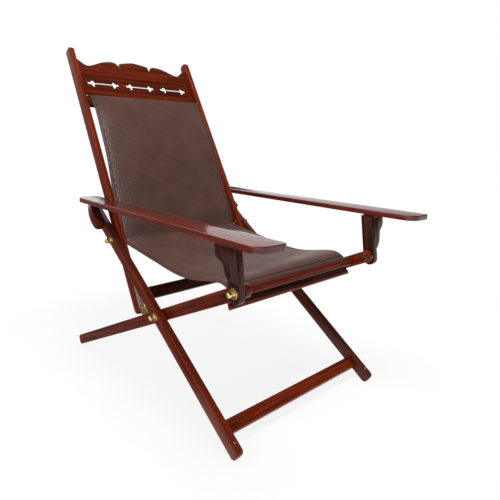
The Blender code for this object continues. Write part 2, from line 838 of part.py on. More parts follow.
# Butt hinges at the leg's top and at the post's top
rear_face_gap = (rear_hinge - leg_corner).dot(arm_dir) + seat_gap
front_face_gap = (front_hinge - post_corner).dot(arm_dir) + seat_gap
for side in (1, -1):
    hinge("leg_hinge", leg_carrier, arm_carriers[side], side, rear_hinge, rear_face_gap)
    hinge("post_hinge", post_carriers[side], arm_carriers[side], side, front_hinge,
          front_face_gap)

# Brass foot plates on the stiles, and the stops on the rails that they lean against
plate_start = -stile_below_pivot + foot_plate_end
plate_face = stile_width / 2 + seat_gap
plate_front = plate_face + foot_plate_thickness
for side in (1, -1):
    label = side_names[side]
    half = rail_thickness / 2 - foot_plate_edge
    outline = [Vector((point.x + side * inner_layer_middle, point.y))
               for point in rectangle(half, plate_start, plate_start + foot_plate_length)]
    shape = cross_board(outline, back_pivot, stile_dir, stile_front, plate_front,
                        foot_plate_thickness)
    finish("foot_plate_" + label, shape, back_carrier, brass, foot_plate_thickness / 4, 1)
    rear_line = back_pivot + stile_front * (plate_front + seat_gap)
    floor_point = rail_point(0, rail_height / 2 + seat_gap)
    low_rear = crossing(rear_line, stile_dir, floor_point, rail_dir)
    high_rear = crossing(rear_line, stile_dir, floor_point + rail_up * stop_height, rail_dir)
    low_nose = low_rear + rail_dir * stop_length
    outline = [low_rear, low_nose, low_nose + rail_up * stop_nose_height,
               high_rear + rail_dir * (stop_length / 3), high_rear]
    outline = filleted(outline, [0, 0, stop_nose_height * 0.6, stop_height, 0], arc_steps)
    shape = side_slab(outline, inner_layer_middle - stop_width / 2,
                      inner_layer_middle + stop_width / 2, side)
    finish("foot_stop_" + label, shape, seat_carrier, brass, stop_round, 1)

# Round-headed screws at the front feet
for side in (1, -1):
    base = front_foot + leg_dir * foot_screw_along + leg_front * (leg_width / 2 + seat_gap)
    normal = pointing(leg_front)
    shape = bmesh.new()
    bmesh.ops.create_uvsphere(shape, u_segments=12, v_segments=6, radius=1)
    bmesh.ops.scale(shape, verts=shape.verts,
                    vec=(foot_screw_radius, foot_screw_radius, foot_screw_height))
    geometry = shape.verts[:] + shape.edges[:] + shape.faces[:]
    bmesh.ops.bisect_plane(shape, geom=geometry, plane_co=(0, 0, 0), plane_no=(0, 0, -1),
                           clear_outer=True)
    rim = [edge_part for edge_part in shape.edges if edge_part.is_boundary]
    bmesh.ops.contextual_create(shape, geom=rim)
    turn = Vector((0, 0, 1)).rotation_difference(normal).to_matrix()
    bmesh.ops.rotate(shape, verts=shape.verts, cent=(0, 0, 0), matrix=turn)
    bmesh.ops.translate(shape, verts=shape.verts, vec=in_space(base, side * layer_middle))
    finish("foot_screw_" + side_names[side], shape, leg_carrier, brass)

# Leather sling: shares of the height to its rail and of its billow, from top to pivot
sling_back_shares = [(0.98, 0.95), (0.875, 1.12), (0.765, 1.15), (0.656, 1.08), (0.547, 0.90),
                     (0.438, 0.55), (0.328, 0.22), (0.219, -0.03), (0.109, -0.20)]
# Shares of the run and of the drop from the back pivot to the front rail's front edge
sling_seat_shares = [(-0.029, 0.844), (-0.006, 0.770), (0.030, 0.670), (0.073, 0.560),
                     (0.191, 0.330), (0.295, 0.130), (0.426, -0.100), (0.549, -0.250),
                     (0.640, -0.250), (0.730, -0.130), (0.837, 0.080), (0.880, 0.130),
                     (0.912, 0.090), (0.940, -0.040), (0.958, -0.170)]
sling_belly_shares = [0.0, 0.4, 0.8, 1.0, 0.95, 0.85, 0.95, 1.0, 0.9, 0.5, 0.0, 0.0]


def sling_line():
    # the sheet's middle line in the side view, from its tail behind the upper rail
    off = sling_gap + sling_thickness / 2
    rail_back = sling_rail_front - sling_rail_thickness
    rail_top = sling_rail_low + sling_rail_width

    def back_point(up, ahead):
        return back_pivot + stile_dir * up + stile_front * ahead

    bend = cross_rail_round + off
    back_middle = Vector((rail_top - cross_rail_round, rail_back + cross_rail_round))
    front_middle = Vector((rail_top - cross_rail_round, sling_rail_front - cross_rail_round))
    wrap = [Vector((rail_top - sling_tail, rail_back - off))]
    wrap += arc(back_middle, bend, -90, 0, bend_steps)
    wrap += arc(front_middle, bend, 0, 90, bend_steps)
    points = [back_point(place.x, place.y) for place in wrap]
    wrapped = len(points)
    for up, ahead in sling_back_shares:
        points.append(back_point(up * sling_rail_low, ahead * sling_billow))
    hem = rail_point(front_rail_centre + front_rail_depth / 2, front_rail_height / 2 + off)
    run = hem.x - back_pivot.x
    drop = back_pivot.y - hem.y
    for along_share, drop_share in sling_seat_shares:
        points.append(Vector((back_pivot.x + along_share * run, hem.y + drop_share * drop)))
    points.append(hem - rail_dir * (front_rail_depth / 2))
    points.append(hem - rail_dir * sling_hem_inset)
    return points, wrapped


def belly_at(share):
    place = share * (len(sling_belly_shares) - 1)
    index = min(int(place), len(sling_belly_shares) - 2)
    rest = place - index
    return sling_belly_shares[index] * (1 - rest) + sling_belly_shares[index + 1] * rest


def sling_shape():
    # rows of points follow the line, and the sheet's middle hangs lower than its edges
    line, wrapped = sling_line()
    steps = [0.0]
    for first, second in zip(line[wrapped:], line[wrapped + 1:]):
        steps.append(steps[-1] + (second - first).length)
    steps = [0.0] * wrapped + steps
    shape = bmesh.new()
    layers = ([], [])
    for index, point in enumerate(line):
        before = line[max(index - 1, 0)]
        after = line[min(index + 1, len(line) - 1)]
        normal = turned_left((after - before).normalized())
        sag = belly_at(steps[index] / steps[-1]) * sling_belly
        for layer, offset in zip(layers, (sling_thickness / 2, -sling_thickness / 2)):
            row = []
            for column in range(sling_columns + 1):
                share = 2 * column / sling_columns - 1
                depth = offset - sag * (1 - share * share)
                row.append(shape.verts.new(in_space(point + normal * depth,
                                                    share * sling_half_width)))
            layer.append(row)
    for layer in layers:
        for first, second in zip(layer, layer[1:]):
            for column in range(sling_columns):
                shape.faces.new((first[column], first[column + 1], second[column + 1],
                                 second[column]))
    upper, lower = layers
    for column in range(sling_columns):
        for row in (0, -1):
            shape.faces.new((upper[row][column], upper[row][column + 1],
                             lower[row][column + 1], lower[row][column]))
    for row in range(len(line) - 1):
        for column in (0, -1):
            shape.faces.new((upper[row][column], upper[row + 1][column],
                             lower[row + 1][column], lower[row][column]))
    return shape


finish("leather_sling", sling_shape(), leg_carrier, leather)
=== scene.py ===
import json
import math

import bmesh
import bpy
import numpy as np
from mathutils import Matrix, Vector


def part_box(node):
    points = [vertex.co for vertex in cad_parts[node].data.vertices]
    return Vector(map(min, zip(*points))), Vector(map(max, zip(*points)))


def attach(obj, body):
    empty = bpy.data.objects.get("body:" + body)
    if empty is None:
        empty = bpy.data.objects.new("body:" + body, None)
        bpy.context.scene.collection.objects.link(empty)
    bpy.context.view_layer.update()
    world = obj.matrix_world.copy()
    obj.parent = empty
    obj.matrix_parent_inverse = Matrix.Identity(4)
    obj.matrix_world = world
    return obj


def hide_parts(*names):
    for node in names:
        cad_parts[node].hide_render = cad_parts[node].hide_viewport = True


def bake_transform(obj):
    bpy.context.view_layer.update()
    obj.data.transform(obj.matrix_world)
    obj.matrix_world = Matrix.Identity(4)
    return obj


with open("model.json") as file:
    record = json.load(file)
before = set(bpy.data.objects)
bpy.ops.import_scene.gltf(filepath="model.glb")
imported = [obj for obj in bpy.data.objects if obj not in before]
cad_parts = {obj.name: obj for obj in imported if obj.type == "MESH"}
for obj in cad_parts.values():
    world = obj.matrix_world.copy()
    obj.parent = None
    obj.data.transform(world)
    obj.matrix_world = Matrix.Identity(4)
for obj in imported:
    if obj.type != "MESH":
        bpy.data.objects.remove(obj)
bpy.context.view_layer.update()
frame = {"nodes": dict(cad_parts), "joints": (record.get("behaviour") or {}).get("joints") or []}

backPivot = np.array([Vector(joint["pos_m"]) for joint in frame["joints"] if joint["name"] == "back_fold"][0])
print("frame loaded:", len(frame["nodes"]), "nodes")

# The chair's boards seen from the side: degrees above the ground, and whether the board rises towards
# the chair's front (1) or its back (-1)
slopes = {"leg": (36.55, -1), "rail": (22.905, 1), "stile": (62.36, -1), "arm": (-2.65, 1),
          "post": (85.3, -1)}
# The side rail's lower end as (depth, height), and how far up from it the front rail sits
railPlace = {"foot": (0.47806, 0.0156), "frontRail": 0.8529}
# The faces of the boards beside each other, from the chair's middle, and the slit between two pieces
layers = {"legOuter": 0.261, "legInner": 0.243, "railOuter": 0.240, "railInner": 0.2238, "gap": 0.0003}


def sideways(degrees, forwards):
    # (0, -f cos a, sin a): a rise by the angle a towards the chair's front (f = 1) or its back (f = -1)
    turn = math.radians(degrees)
    return Vector((0, -forwards * math.cos(turn), math.sin(turn)))


across = Vector((1, 0, 0))
along = {board: sideways(degrees, forwards) for board, (degrees, forwards) in slopes.items()}
facing = {board: sideways(90 + forwards * degrees, 1) for board, (degrees, forwards) in slopes.items()}


def linear(hexColour):
    # sRGB hex digits to linear light: the low end divided by 12.92, the rest raised to 2.4
    value = np.array([int(hexColour[i:i + 2], 16) / 255 for i in (1, 3, 5)])
    light = np.where(value <= 0.04045, value / 12.92, ((value + 0.055) / 1.055) ** 2.4)
    return (*light.tolist(), 1.0)


def addNode(tree, kind, links=None, **settings):
    # one node: a setting is a property or a socket's value, and a link goes into a named socket from
    # another socket, or from a node's first one
    made = tree.nodes.new("ShaderNode" + kind)
    for key, value in settings.items():
        if key == "stops":
            ramp = made.color_ramp.elements
            while len(ramp) < len(value):
                ramp.new(0.5)
            for stop, (place, colour) in zip(ramp, value):
                stop.position, stop.color = place, colour
        elif key == "values":
            for socket, number in value.items():
                made.inputs[socket].default_value = number
        else:
            setattr(made, key, value)
    for socket, source in (links or {}).items():
        out = source.outputs[0] if isinstance(source, bpy.types.Node) else source
        tree.links.new(out, made.inputs[socket])
    return made


def mapped(before, after=(0.0, 1.0)):
    # a Map Range node's values: what runs over the first pair is drawn to the second
    return dict(zip((1, 2, 3, 4), (*before, *after)))


def toneStops(look, *keys):
    # a ramp's stops: the look's places with the colours of those keys
    return list(zip(look["toneStops"], (linear(look[key]) for key in keys)))


def newMaterial(name):
    # an empty node material and its tree
    made = bpy.data.materials.new(name)
    made.use_nodes = True
    made.node_tree.nodes.clear()
    return made, made.node_tree


def tinted(tree, look, colour, overlays):
    # the colour mixed in turn, by each share, towards one of the look's other colours
    for share, key in overlays:
        mixed = addNode(tree, "Mix", {0: share, 6: colour}, data_type="RGBA", values={7: linear(look[key])})
        colour = mixed.outputs[2]
    return colour


def finishMaterial(tree, look, colour, noise, height, **bumpSettings):
    # the surface of a material: the noise draws its roughness from one value to the other, and the
    # height is its bump
    rough = addNode(tree, "MapRange", {0: noise}, values=mapped(look["roughRange"], look["roughness"]))
    bump = addNode(tree, "Bump", {"Height": height}, values=look["bump"], **bumpSettings)
    shader = addNode(tree, "BsdfPrincipled", {"Base Color": colour, "Roughness": rough, "Normal": bump},
                     values=look["shine"])
    addNode(tree, "OutputMaterial", {"Surface": shader})


# Rosewood under French polish: deep red brown with black brown streaks that run along the board,
# short dark pores, and a thin clear gloss that mirrors the room at low angles
polishedRosewood = {
    "name": "rosewood_french_polish",
    # the last colour is the arrises' paler tone: partly wear, partly a painted highlight
    "dark": "#2E0C06", "streak": "#571B0A", "base": "#7E2A10", "light": "#963814", "wornAndHighlight": "#A4553A",
    "toneStops": (0.31, 0.40, 0.53, 0.68),      # where those four tones stand in the mixed noise
    # patterns: width across the grain and length along it in metres, detail, distortion
    "figure": (0.011, 0.26, 3.0, 0.4),          # the broad dark bands of heartwood
    "streaks": (0.0042, 0.20, 4.0, 0.0),        # the streaks between them
    "pores": (0.0009, 0.012, 1.0, 0.0),         # real pores are a third of that, too fine to show
    "roughNoise": 0.6, "streakShare": 0.36,
    "poreRange": (0.56, 0.66), "poreShade": 0.28, "bump": {"Strength": 0.5, "Distance": 0.00012},
    # the arrises turn paler near their edge and in patches: partly wear, partly a painted highlight on their
    # rounding
    "wornHighlightEdge": 0.0020, "wornHighlightAmount": 0.14,
    "patches": {"Scale": 45.0, "Detail": 2.0},  # 22 mm patches where the wear and the gloss change
    "wornHighlightRange": (0.42, 0.62), "roughRange": (0.3, 0.7),
    # the same strength darkens the batten's neck as a painted shadow, where that wood sets it to 0.97
    "endGrainAndNeckShadow": 0.45,                           # the ends of a board drink more polish and are darker
    "paintedShadowLines": [],                               # distance from the lower edge, half width, strength
    "roughness": (0.19, 0.31),
    "shine": {"IOR": 1.5, "Specular IOR Level": 0.20, "Coat Weight": 0.04, "Coat Roughness": 0.08,
              "Coat IOR": 1.5},
}
polishedArm = dict(polishedRosewood, name="rosewood_arm_polish", base="#76261A", light="#94371F",
                   roughness=(0.04, 0.16),
                   shine={"IOR": 1.5, "Specular IOR Level": 0.5, "Coat Weight": 0.30,
                          "Coat Roughness": 0.03, "Coat IOR": 1.5})
carvedRosewood = dict(polishedRosewood, name="rosewood_carved_polish", base="#63200C", light="#7A2D10",
                      streak="#481709", figure=(0.008, 0.26, 3.0, 0.4), roughness=(0.23, 0.35))
# The crest has two fine dark lines along it: painted shadow lines, with no groove cut in its shape
crestRosewood = dict(carvedRosewood, name="rosewood_crest_painted_shadow_lines",
                     paintedShadowLines=[(0.012, 0.0028, 0.85), (0.055, 0.0020, 0.60)])
# Darker copies of the polish: the darkest is painted shade on the posts, their corbels and the back's two
# rails; the brown one is painted shade on the far leg and a browner tone on the front rail
paintedShadeRosewood = dict(polishedRosewood, name="rosewood_painted_shade_dark", dark="#120604", streak="#2A0E08",
                    base="#4C1F13", light="#66301F")
brownRosewood = dict(polishedRosewood, name="rosewood_brown_board", dark="#1C0906", streak="#3C140B",
                     base="#642A1D", light="#7E3A29")
# The batten: its neck under the rail is painted near black, a painted shadow under the front rail
neckShadowRosewood = dict(polishedRosewood, name="rosewood_painted_neck_shadow", dark="#060202", streak="#3A150C",
                      base="#7E4234", light="#935344", endGrainAndNeckShadow=0.97)
# The tenons' ends: grain cut across, dull red brown with short streaks
endRosewood = dict(polishedRosewood, name="rosewood_end_grain", base="#4A2A22", light="#5C362C",
                   figure=(0.011, 0.02, 3.0, 0.4), streaks=(0.0042, 0.008, 4.0, 0.0))


def rosewood(look):
    # two noises stretched along the board give the tone, and over it lie the pores, the arrises paler partly
    # from wear and partly as a painted highlight, the end grain together with the painted shadow on the
    # batten's neck, and the crest's painted shadow lines, each a mix towards its own colour
    made, tree = newMaterial(look["name"])
    board = addNode(tree, "Attribute", attribute_name="boardPlace").outputs["Vector"]   # metres
    facts = addNode(tree, "Attribute", attribute_name="boardFacts").outputs["Vector"]
    place = addNode(tree, "SeparateXYZ", {0: board})     # along, across and through the board
    split = addNode(tree, "SeparateXYZ", {0: facts})     # half width, half thickness, seed
    seed = split.outputs[2]
    shift = addNode(tree, "CombineXYZ", {0: seed, 1: seed, 2: seed})
    placed = addNode(tree, "VectorMath", {0: board, 1: shift}, operation="ADD")

    def stretched(width, length, detail, distortion):
        # noise of the place divided by the cell's length along the grain and its width across it
        scaled = addNode(tree, "VectorMath", {0: placed}, operation="MULTIPLY",
                         values={1: (1 / length, 1 / width, 1 / width)})
        return addNode(tree, "TexNoise", {"Vector": scaled},
                       values={"Scale": 1.0, "Detail": detail, "Roughness": look["roughNoise"],
                               "Distortion": distortion})

    figure, streaks, pores = (stretched(*look[key]) for key in ("figure", "streaks", "pores"))
    tone = addNode(tree, "Mix", {2: figure, 3: streaks}, data_type="FLOAT", values={0: look["streakShare"]})
    colour = addNode(tree, "ValToRGB", {0: tone}, stops=toneStops(look, "dark", "streak", "base", "light"))
    poreMask = addNode(tree, "MapRange", {0: pores}, values=mapped(look["poreRange"]))
    poreShade = addNode(tree, "Math", {0: poreMask}, operation="MULTIPLY", values={1: look["poreShade"]})

    # wear and painted highlight: how near a point is to the arris, where width and thickness both end; the
    # paler arris is partly wear and partly a painted highlight on its rounding
    gaps = []
    for axis, half in ((1, 0), (2, 1)):
        size = addNode(tree, "Math", {0: place.outputs[axis]}, operation="ABSOLUTE")
        gaps.append(addNode(tree, "Math", {0: split.outputs[half], 1: size}, operation="SUBTRACT"))
    gap = addNode(tree, "Math", {0: gaps[0], 1: gaps[1]}, operation="ADD")
    near = addNode(tree, "MapRange", {0: gap}, values=mapped((0, look["wornHighlightEdge"]), (look["wornHighlightAmount"], 0)))
    patchy = addNode(tree, "TexNoise", {"Vector": placed}, values=look["patches"])
    patches = addNode(tree, "MapRange", {0: patchy}, values=mapped(look["wornHighlightRange"]))
    wearAndHighlight = addNode(tree, "Math", {0: near, 1: patches}, operation="MULTIPLY")

    # the attribute is 1 where a face cuts the grain, and on the batten's neck, where it marks a painted
    # shadow
    ends = addNode(tree, "Attribute", attribute_name="boardEnds")     # 1 where a face cuts the grain
    endAndNeckShadow = addNode(tree, "Math", {0: ends.outputs["Fac"]}, operation="MULTIPLY",
                       values={1: look["endGrainAndNeckShadow"]})
    overlays = [(poreShade, "dark"), (wearAndHighlight, "wornAndHighlight"), (endAndNeckShadow, "dark")]
    # the crest's painted shadow lines: dark bands at listed distances from its lower edge
    fromFoot = addNode(tree, "Math", {0: place.outputs[1], 1: split.outputs[0]}, operation="ADD")
    for distance, half, strength in look["paintedShadowLines"]:
        off = addNode(tree, "Math", {0: fromFoot}, operation="SUBTRACT", values={1: distance})
        size = addNode(tree, "Math", {0: off}, operation="ABSOLUTE")
        line = addNode(tree, "MapRange", {0: size}, values=mapped((half / 2, half), (strength, 0)))
        overlays.append((line, "dark"))
    finishMaterial(tree, look, tinted(tree, look, colour, overlays), patchy, poreMask, invert=True)
    return made


# Aged brass, cast and turned, then rubbed bright by use: warm yellow with brown tarnish in patches
agedBrass = {
    "name": "aged_brass_turned", "bright": "#FFE6A6", "dull": "#B4843C", "toneStops": (0.36, 0.58),
    "patch": 0.007, "patchDetail": 4.0, "patchNoise": 0.6,     # patches of 7 mm
    "scratch": 0.0006, "scratchDetail": 2.0, "bump": {"Strength": 0.15, "Distance": 0.0002},
    "roughness": (0.36, 0.16), "roughRange": (0.3, 0.7), "shine": {"Metallic": 1.0},
}
# Filed brass, left with a softer shine
filedBrass = dict(agedBrass, name="aged_brass_filed", roughness=(0.54, 0.34))
# Brass plate rubbed pale where the stile's foot slides
rubbedBrass = dict(agedBrass, name="rubbed_brass_plate", bright="#FFF6E2", dull="#E2D0A4", patch=0.03,
                   roughness=(0.74, 0.54))
# Hinge leaves and nuts that nobody polishes, gone brown
brownBrass = dict(agedBrass, name="brown_brass_hinge", bright="#7A5226", dull="#3A2412",
                  roughness=(0.52, 0.32))
nutBrass = dict(agedBrass, name="brown_brass_nut", bright="#B98A4A", dull="#6E4A22")


def brassMetal(look):
    # one noise gives both the tarnish's colour and its roughness, a finer one the scratches' bump
    made, tree = newMaterial(look["name"])
    place = addNode(tree, "TexCoord").outputs["Object"]
    patches = addNode(tree, "TexNoise", {"Vector": place},
                      values={"Scale": 1 / look["patch"], "Detail": look["patchDetail"],
                              "Roughness": look["patchNoise"]})
    colour = addNode(tree, "ValToRGB", {0: patches}, stops=toneStops(look, "dull", "bright"))
    scratches = addNode(tree, "TexNoise", {"Vector": place},
                        values={"Scale": 1 / look["scratch"], "Detail": look["scratchDetail"]})
    finishMaterial(tree, look, colour, patches, scratches)
    return made


# Oiled cow hide, vegetable tanned: dull brown with a soft sheen, a pebbled grain, paler beside the edges,
# partly from rubbed wear and partly as a painted sheen, and dark in the pressed lines beside its edges and
# hem
brownHide = {
    "name": "brown_cow_hide",
    # the pale grey tone beside the edges is partly rubbed wear, partly a painted sheen
    "base": "#5E413A", "deep": "#4E342E", "rubbedAndSheen": "#958C88", "seam": "#2A1A17",
    "toneStops": (0.3, 0.68), "mottle": 0.085, "mottleDetail": 5.0, "mottleNoise": 0.55,
    "pebble": 0.0035, "pebbleSoft": 0.6,      # real grain is about 0.8 mm, drawn coarser so that it shows
    "bump": {"Strength": 0.35, "Distance": 0.0006},
    "speckle": {"Scale": 210.0, "Detail": 3.0, "Roughness": 0.7}, "speckleRange": (0.42, 0.64),
    "roughness": (0.52, 0.40), "roughRange": (0.3, 0.7),
    "shine": {"IOR": 1.5, "Specular IOR Level": 0.3, "Sheen Weight": 0.05, "Sheen Roughness": 0.5},
}


def cowHide(look):
    # mottled brown, speckled paler by the attribute of wear and painted sheen, darkened by the seam
    # attribute, over the bump of a cellular pattern
    made, tree = newMaterial(look["name"])
    place = addNode(tree, "Attribute", attribute_name="hidePlace").outputs["Vector"]  # across, along, depth
    mottle = addNode(tree, "TexNoise", {"Vector": place},
                     values={"Scale": 1 / look["mottle"], "Detail": look["mottleDetail"],
                             "Roughness": look["mottleNoise"]})
    pebble = addNode(tree, "TexVoronoi", {"Vector": place}, feature="SMOOTH_F1",
                     values={"Scale": 1 / look["pebble"], "Smoothness": look["pebbleSoft"]})
    colour = addNode(tree, "ValToRGB", {0: mottle}, stops=toneStops(look, "deep", "base"))
    rubAndSheen = addNode(tree, "Attribute", attribute_name="hideWear")
    speckle = addNode(tree, "TexNoise", {"Vector": place}, values=look["speckle"])
    speckles = addNode(tree, "MapRange", {0: speckle}, values=mapped(look["speckleRange"]))
    rubbedAndSheen = addNode(tree, "Math", {0: rubAndSheen.outputs["Fac"], 1: speckles}, operation="MULTIPLY")
    sewn = addNode(tree, "Attribute", attribute_name="hideSeam")      # 1 in the lines beside edges and hem
    colour = tinted(tree, look, colour, ((rubbedAndSheen, "rubbedAndSheen"), (sewn.outputs["Fac"], "seam")))
    finishMaterial(tree, look, colour, mottle, pebble)
    return made


plainWood, armWood, paintedShadeWood, brownWood, neckShadowWood, carvedWood, crestWood, endWood = (
    rosewood(look) for look in (polishedRosewood, polishedArm, paintedShadeRosewood, brownRosewood, neckShadowRosewood,
                                carvedRosewood, crestRosewood, endRosewood))
turnedMetal, plateMetal, filedMetal, hingeMetal, nutMetal = (
    brassMetal(look) for look in (agedBrass, rubbedBrass, filedBrass, brownBrass, nutBrass))
hide = cowHide(brownHide)
print("materials made")


def gridFaces(rows, columns, closed=False):
    # the four corners of every cell of a grid, its last column joined to its first where closed
    index = np.arange(rows * columns).reshape(rows, columns)
    if closed:
        index = np.concatenate([index, index[:, :1]], axis=1)
    return np.stack([index[:-1, :-1], index[:-1, 1:], index[1:, 1:], index[1:, :-1]], axis=-1).reshape(-1, 4)


def unit(vectors):
    # vectors divided by their lengths
    return vectors / np.linalg.norm(vectors, axis=-1, keepdims=True)


def signedVolume(points, faces):
    # six times the volume: triple products of each face's fan of triangles, summed
    total = 0.0
    for block in faces:
        for corner in range(1, block.shape[1] - 1):
            a, b, c = points[block[:, 0]], points[block[:, corner]], points[block[:, corner + 1]]
            total += float(np.einsum("ij,ij->", a, np.cross(b, c)))
    return total


def makePiece(name, points, faces, material, slot, body, sharpAngle, **attributes):
    # a closed mesh from an array of points and blocks of faces, turned so that it faces outwards
    points = np.asarray(points, float).reshape(-1, 3)
    faces = [np.asarray(block, int) for block in faces if len(block)]
    if signedVolume(points, faces) < 0:
        faces = [block[:, ::-1] for block in faces]
    mesh = bpy.data.meshes.new(name)
    mesh.vertices.add(len(points))
    mesh.vertices.foreach_set("co", points.ravel())
    corners = np.concatenate([np.full(len(block), block.shape[1]) for block in faces])
    mesh.loops.add(int(corners.sum()))
    mesh.loops.foreach_set("vertex_index", np.concatenate([block.ravel() for block in faces]))
    mesh.polygons.add(len(corners))
    mesh.polygons.foreach_set("loop_start", np.concatenate([[0], np.cumsum(corners)[:-1]]))
    mesh.polygons.foreach_set("loop_total", corners)
    mesh.update(calc_edges=True)
    mesh.validate()
    return dressed(name, mesh, material, body, sharpAngle, attributes)


def addObject(name, data):
    # an object at the origin, in the scene
    made = bpy.data.objects.new(name, data)
    bpy.context.scene.collection.objects.link(made)
    return made


def dressed(name, mesh, material, body, sharpAngle, attributes):
    # a mesh made an object of the chair; an attribute is one number or one vector for each point
    for key, values in attributes.items():
        values = np.asarray(values, np.float32)
        kind, field = ("FLOAT", "value") if values.ndim == 1 else ("FLOAT_VECTOR", "vector")
        mesh.attributes.new(key, kind, "POINT").data.foreach_set(field, values.ravel())
    mesh.materials.clear()
    mesh.materials.append(material)
    mesh.shade_smooth()
    mesh.set_sharp_from_angle(angle=math.radians(sharpAngle))
    piece = addObject(name, mesh)
    if body:
        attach(piece, body)
    return piece


def meshArray(mesh, field="co"):
    # one vector of each vertex, as rows
    values = np.empty(len(mesh.vertices) * 3)
    mesh.vertices.foreach_get(field, values)
    return values.reshape(-1, 3)


# Boards on the CAD nodes' shapes

# the batten's painted neck shadow covers the top 7.5 mm of it
boardCut = {"merge": 0.00001, "flatAngle": 0.4, "sharpAngle": 34,
            "endFrom": 0.35, "endOver": 0.45,    # a face is end grain as its normal turns along the board
            "neckShadowHigh": 0.0075, "seedStep": 18.4}


def boardEnds(normals):
    # from 0 to 1 as the normal's share along the grain passes the range of an end
    return np.clip((np.abs(normals) - boardCut["endFrom"]) / boardCut["endOver"], 0, 1)


def boardFrom(node, grain, face, seed, material, body):
    # a copy of a CAD node with its triangles merged, and each point's distances from the board's
    # middle along, across and through it, which are its products with the three directions
    mesh = frame["nodes"][node].data.copy()
    shape = bmesh.new()
    shape.from_mesh(mesh)
    bmesh.ops.remove_doubles(shape, verts=shape.verts, dist=boardCut["merge"])
    bmesh.ops.dissolve_limit(shape, angle_limit=math.radians(boardCut["flatAngle"]), verts=shape.verts,
                             edges=shape.edges)
    shape.to_mesh(mesh)
    shape.free()
    axes = np.array([grain, face.cross(grain), face])
    local = meshArray(mesh) @ axes.T
    local -= (local.max(0) + local.min(0)) / 2
    half = local.max(0)
    facts = np.tile([half[1], half[2], seed], (len(local), 1))
    ends = boardEnds(meshArray(mesh, "normal") @ axes[0])
    # the batten's neck under the rail is marked for a painted shadow, which its wood darkens near black
    if node == "front_batten":
        ends = (local[:, 2] > half[2] - boardCut["neckShadowHigh"]) * 1.0      # the neck, under the rail
    piece = dressed(node + "_board", mesh, material, body, boardCut["sharpAngle"],
                    {"boardPlace": local, "boardFacts": facts, "boardEnds": ends})
    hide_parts(node)


# starts of the nodes' names with their woods; the other boards are plain. The batten's wood paints the shadow
# on its neck, the dark wood paints shade on the posts, their corbels and the back's two rails, and the brown
# wood paints shade on the far leg
woods = {"front_batten": neckShadowWood, "crest_rail": crestWood, "fret_panel": carvedWood,
         "leg_corbel": carvedWood, "front_rail": brownWood, "leg_left": brownWood, "post": paintedShadeWood,
         "back_lower_rail": paintedShadeWood, "sling_rail": paintedShadeWood}
# node, direction of its grain, direction that it faces, seed, body
boardRows = [
    ("leg_stretcher", across, facing["leg"], 3.7, "leg_frame"),
    ("front_rail", across, facing["rail"], 5.1, "seat_frame"),
    ("front_batten", across, facing["rail"], 6.3, "seat_frame"),
    ("sling_rail", across, facing["stile"], 7.9, "back_frame"),
    ("back_lower_rail", across, facing["stile"], 8.6, "back_frame"),
]
for number, side in enumerate(("left", "right")):
    further = boardCut["seedStep"] * number
    boardRows += [
        ("leg_" + side, along["leg"], across, 25.8 + further, "leg_frame"),
        ("side_rail_" + side, along["rail"], across, 28.7 + further, "seat_frame"),
        ("stile_" + side, along["stile"], across, 31.6 + further, "back_frame"),
        ("post_" + side, along["post"], across, 34.5 + further, "post_" + side),
        ("leg_corbel_" + side, along["leg"], facing["leg"], 51.9 + number, "leg_frame"),
        ("post_corbel_" + side, along["post"], facing["post"], 57.2 + number, "post_" + side),
    ]
boardRows += [("crest_rail", across, facing["stile"], 63.1, "back_frame"),
              ("fret_panel", across, facing["stile"], 67.4, "back_frame")]
for node, grain, face, seed, body in boardRows:
    wood = next((wood for start, wood in woods.items() if node.startswith(start)), plainWood)
    boardFrom(node, grain, face, seed, wood, body)
print("boards made:", len(boardRows))

# Arms and tenon ends

armShape = {"rear": 0.0615, "front": 0.0760, "rearRadius": 0.027,          # widths from the inner edge
            "noseOuter": 0.034, "noseInner": 0.009, "noseSlant": 0.004,     # one outline for both arms
            "shortOfTip": 0.0008, "arris": 0.0016, "steps": 14, "firstSeed": 40.7, "seedStep": 7}
tenonShape = {"long": 0.026, "wide": 0.012, "corner": 0.002, "steps": 5,
              "proud": 0.00025, "sunk": 0.002, "arris": 0.0001, "firstSeed": 71.3}
plateShape = {"arrisSteps": 4, "sharpAngle": 30}


def roundedOutline(corners, radii, steps):
    # a polygon whose every corner is an arc: from the tangent point on one side to that on the next,
    # blended on the circle by sines of the turned angle
    corners, out = np.array(corners, float), []
    for number, (corner, radius) in enumerate(zip(corners, radii)):
        before = unit(corners[number - 1] - corner)
        after = unit(corners[(number + 1) % len(corners)] - corner)
        half = math.acos(float(np.clip(before @ after, -1, 1))) / 2
        centre = corner + unit(before + after) * radius / math.sin(half)
        reach = radius / math.tan(half)
        first, last = corner + before * reach - centre, corner + after * reach - centre
        turn, part = math.pi - 2 * half, np.linspace(0, 1, steps)[:, None]
        out.append(centre + (np.sin((1 - part) * turn) * first + np.sin(part * turn) * last) / math.sin(turn))
    return np.concatenate(out)


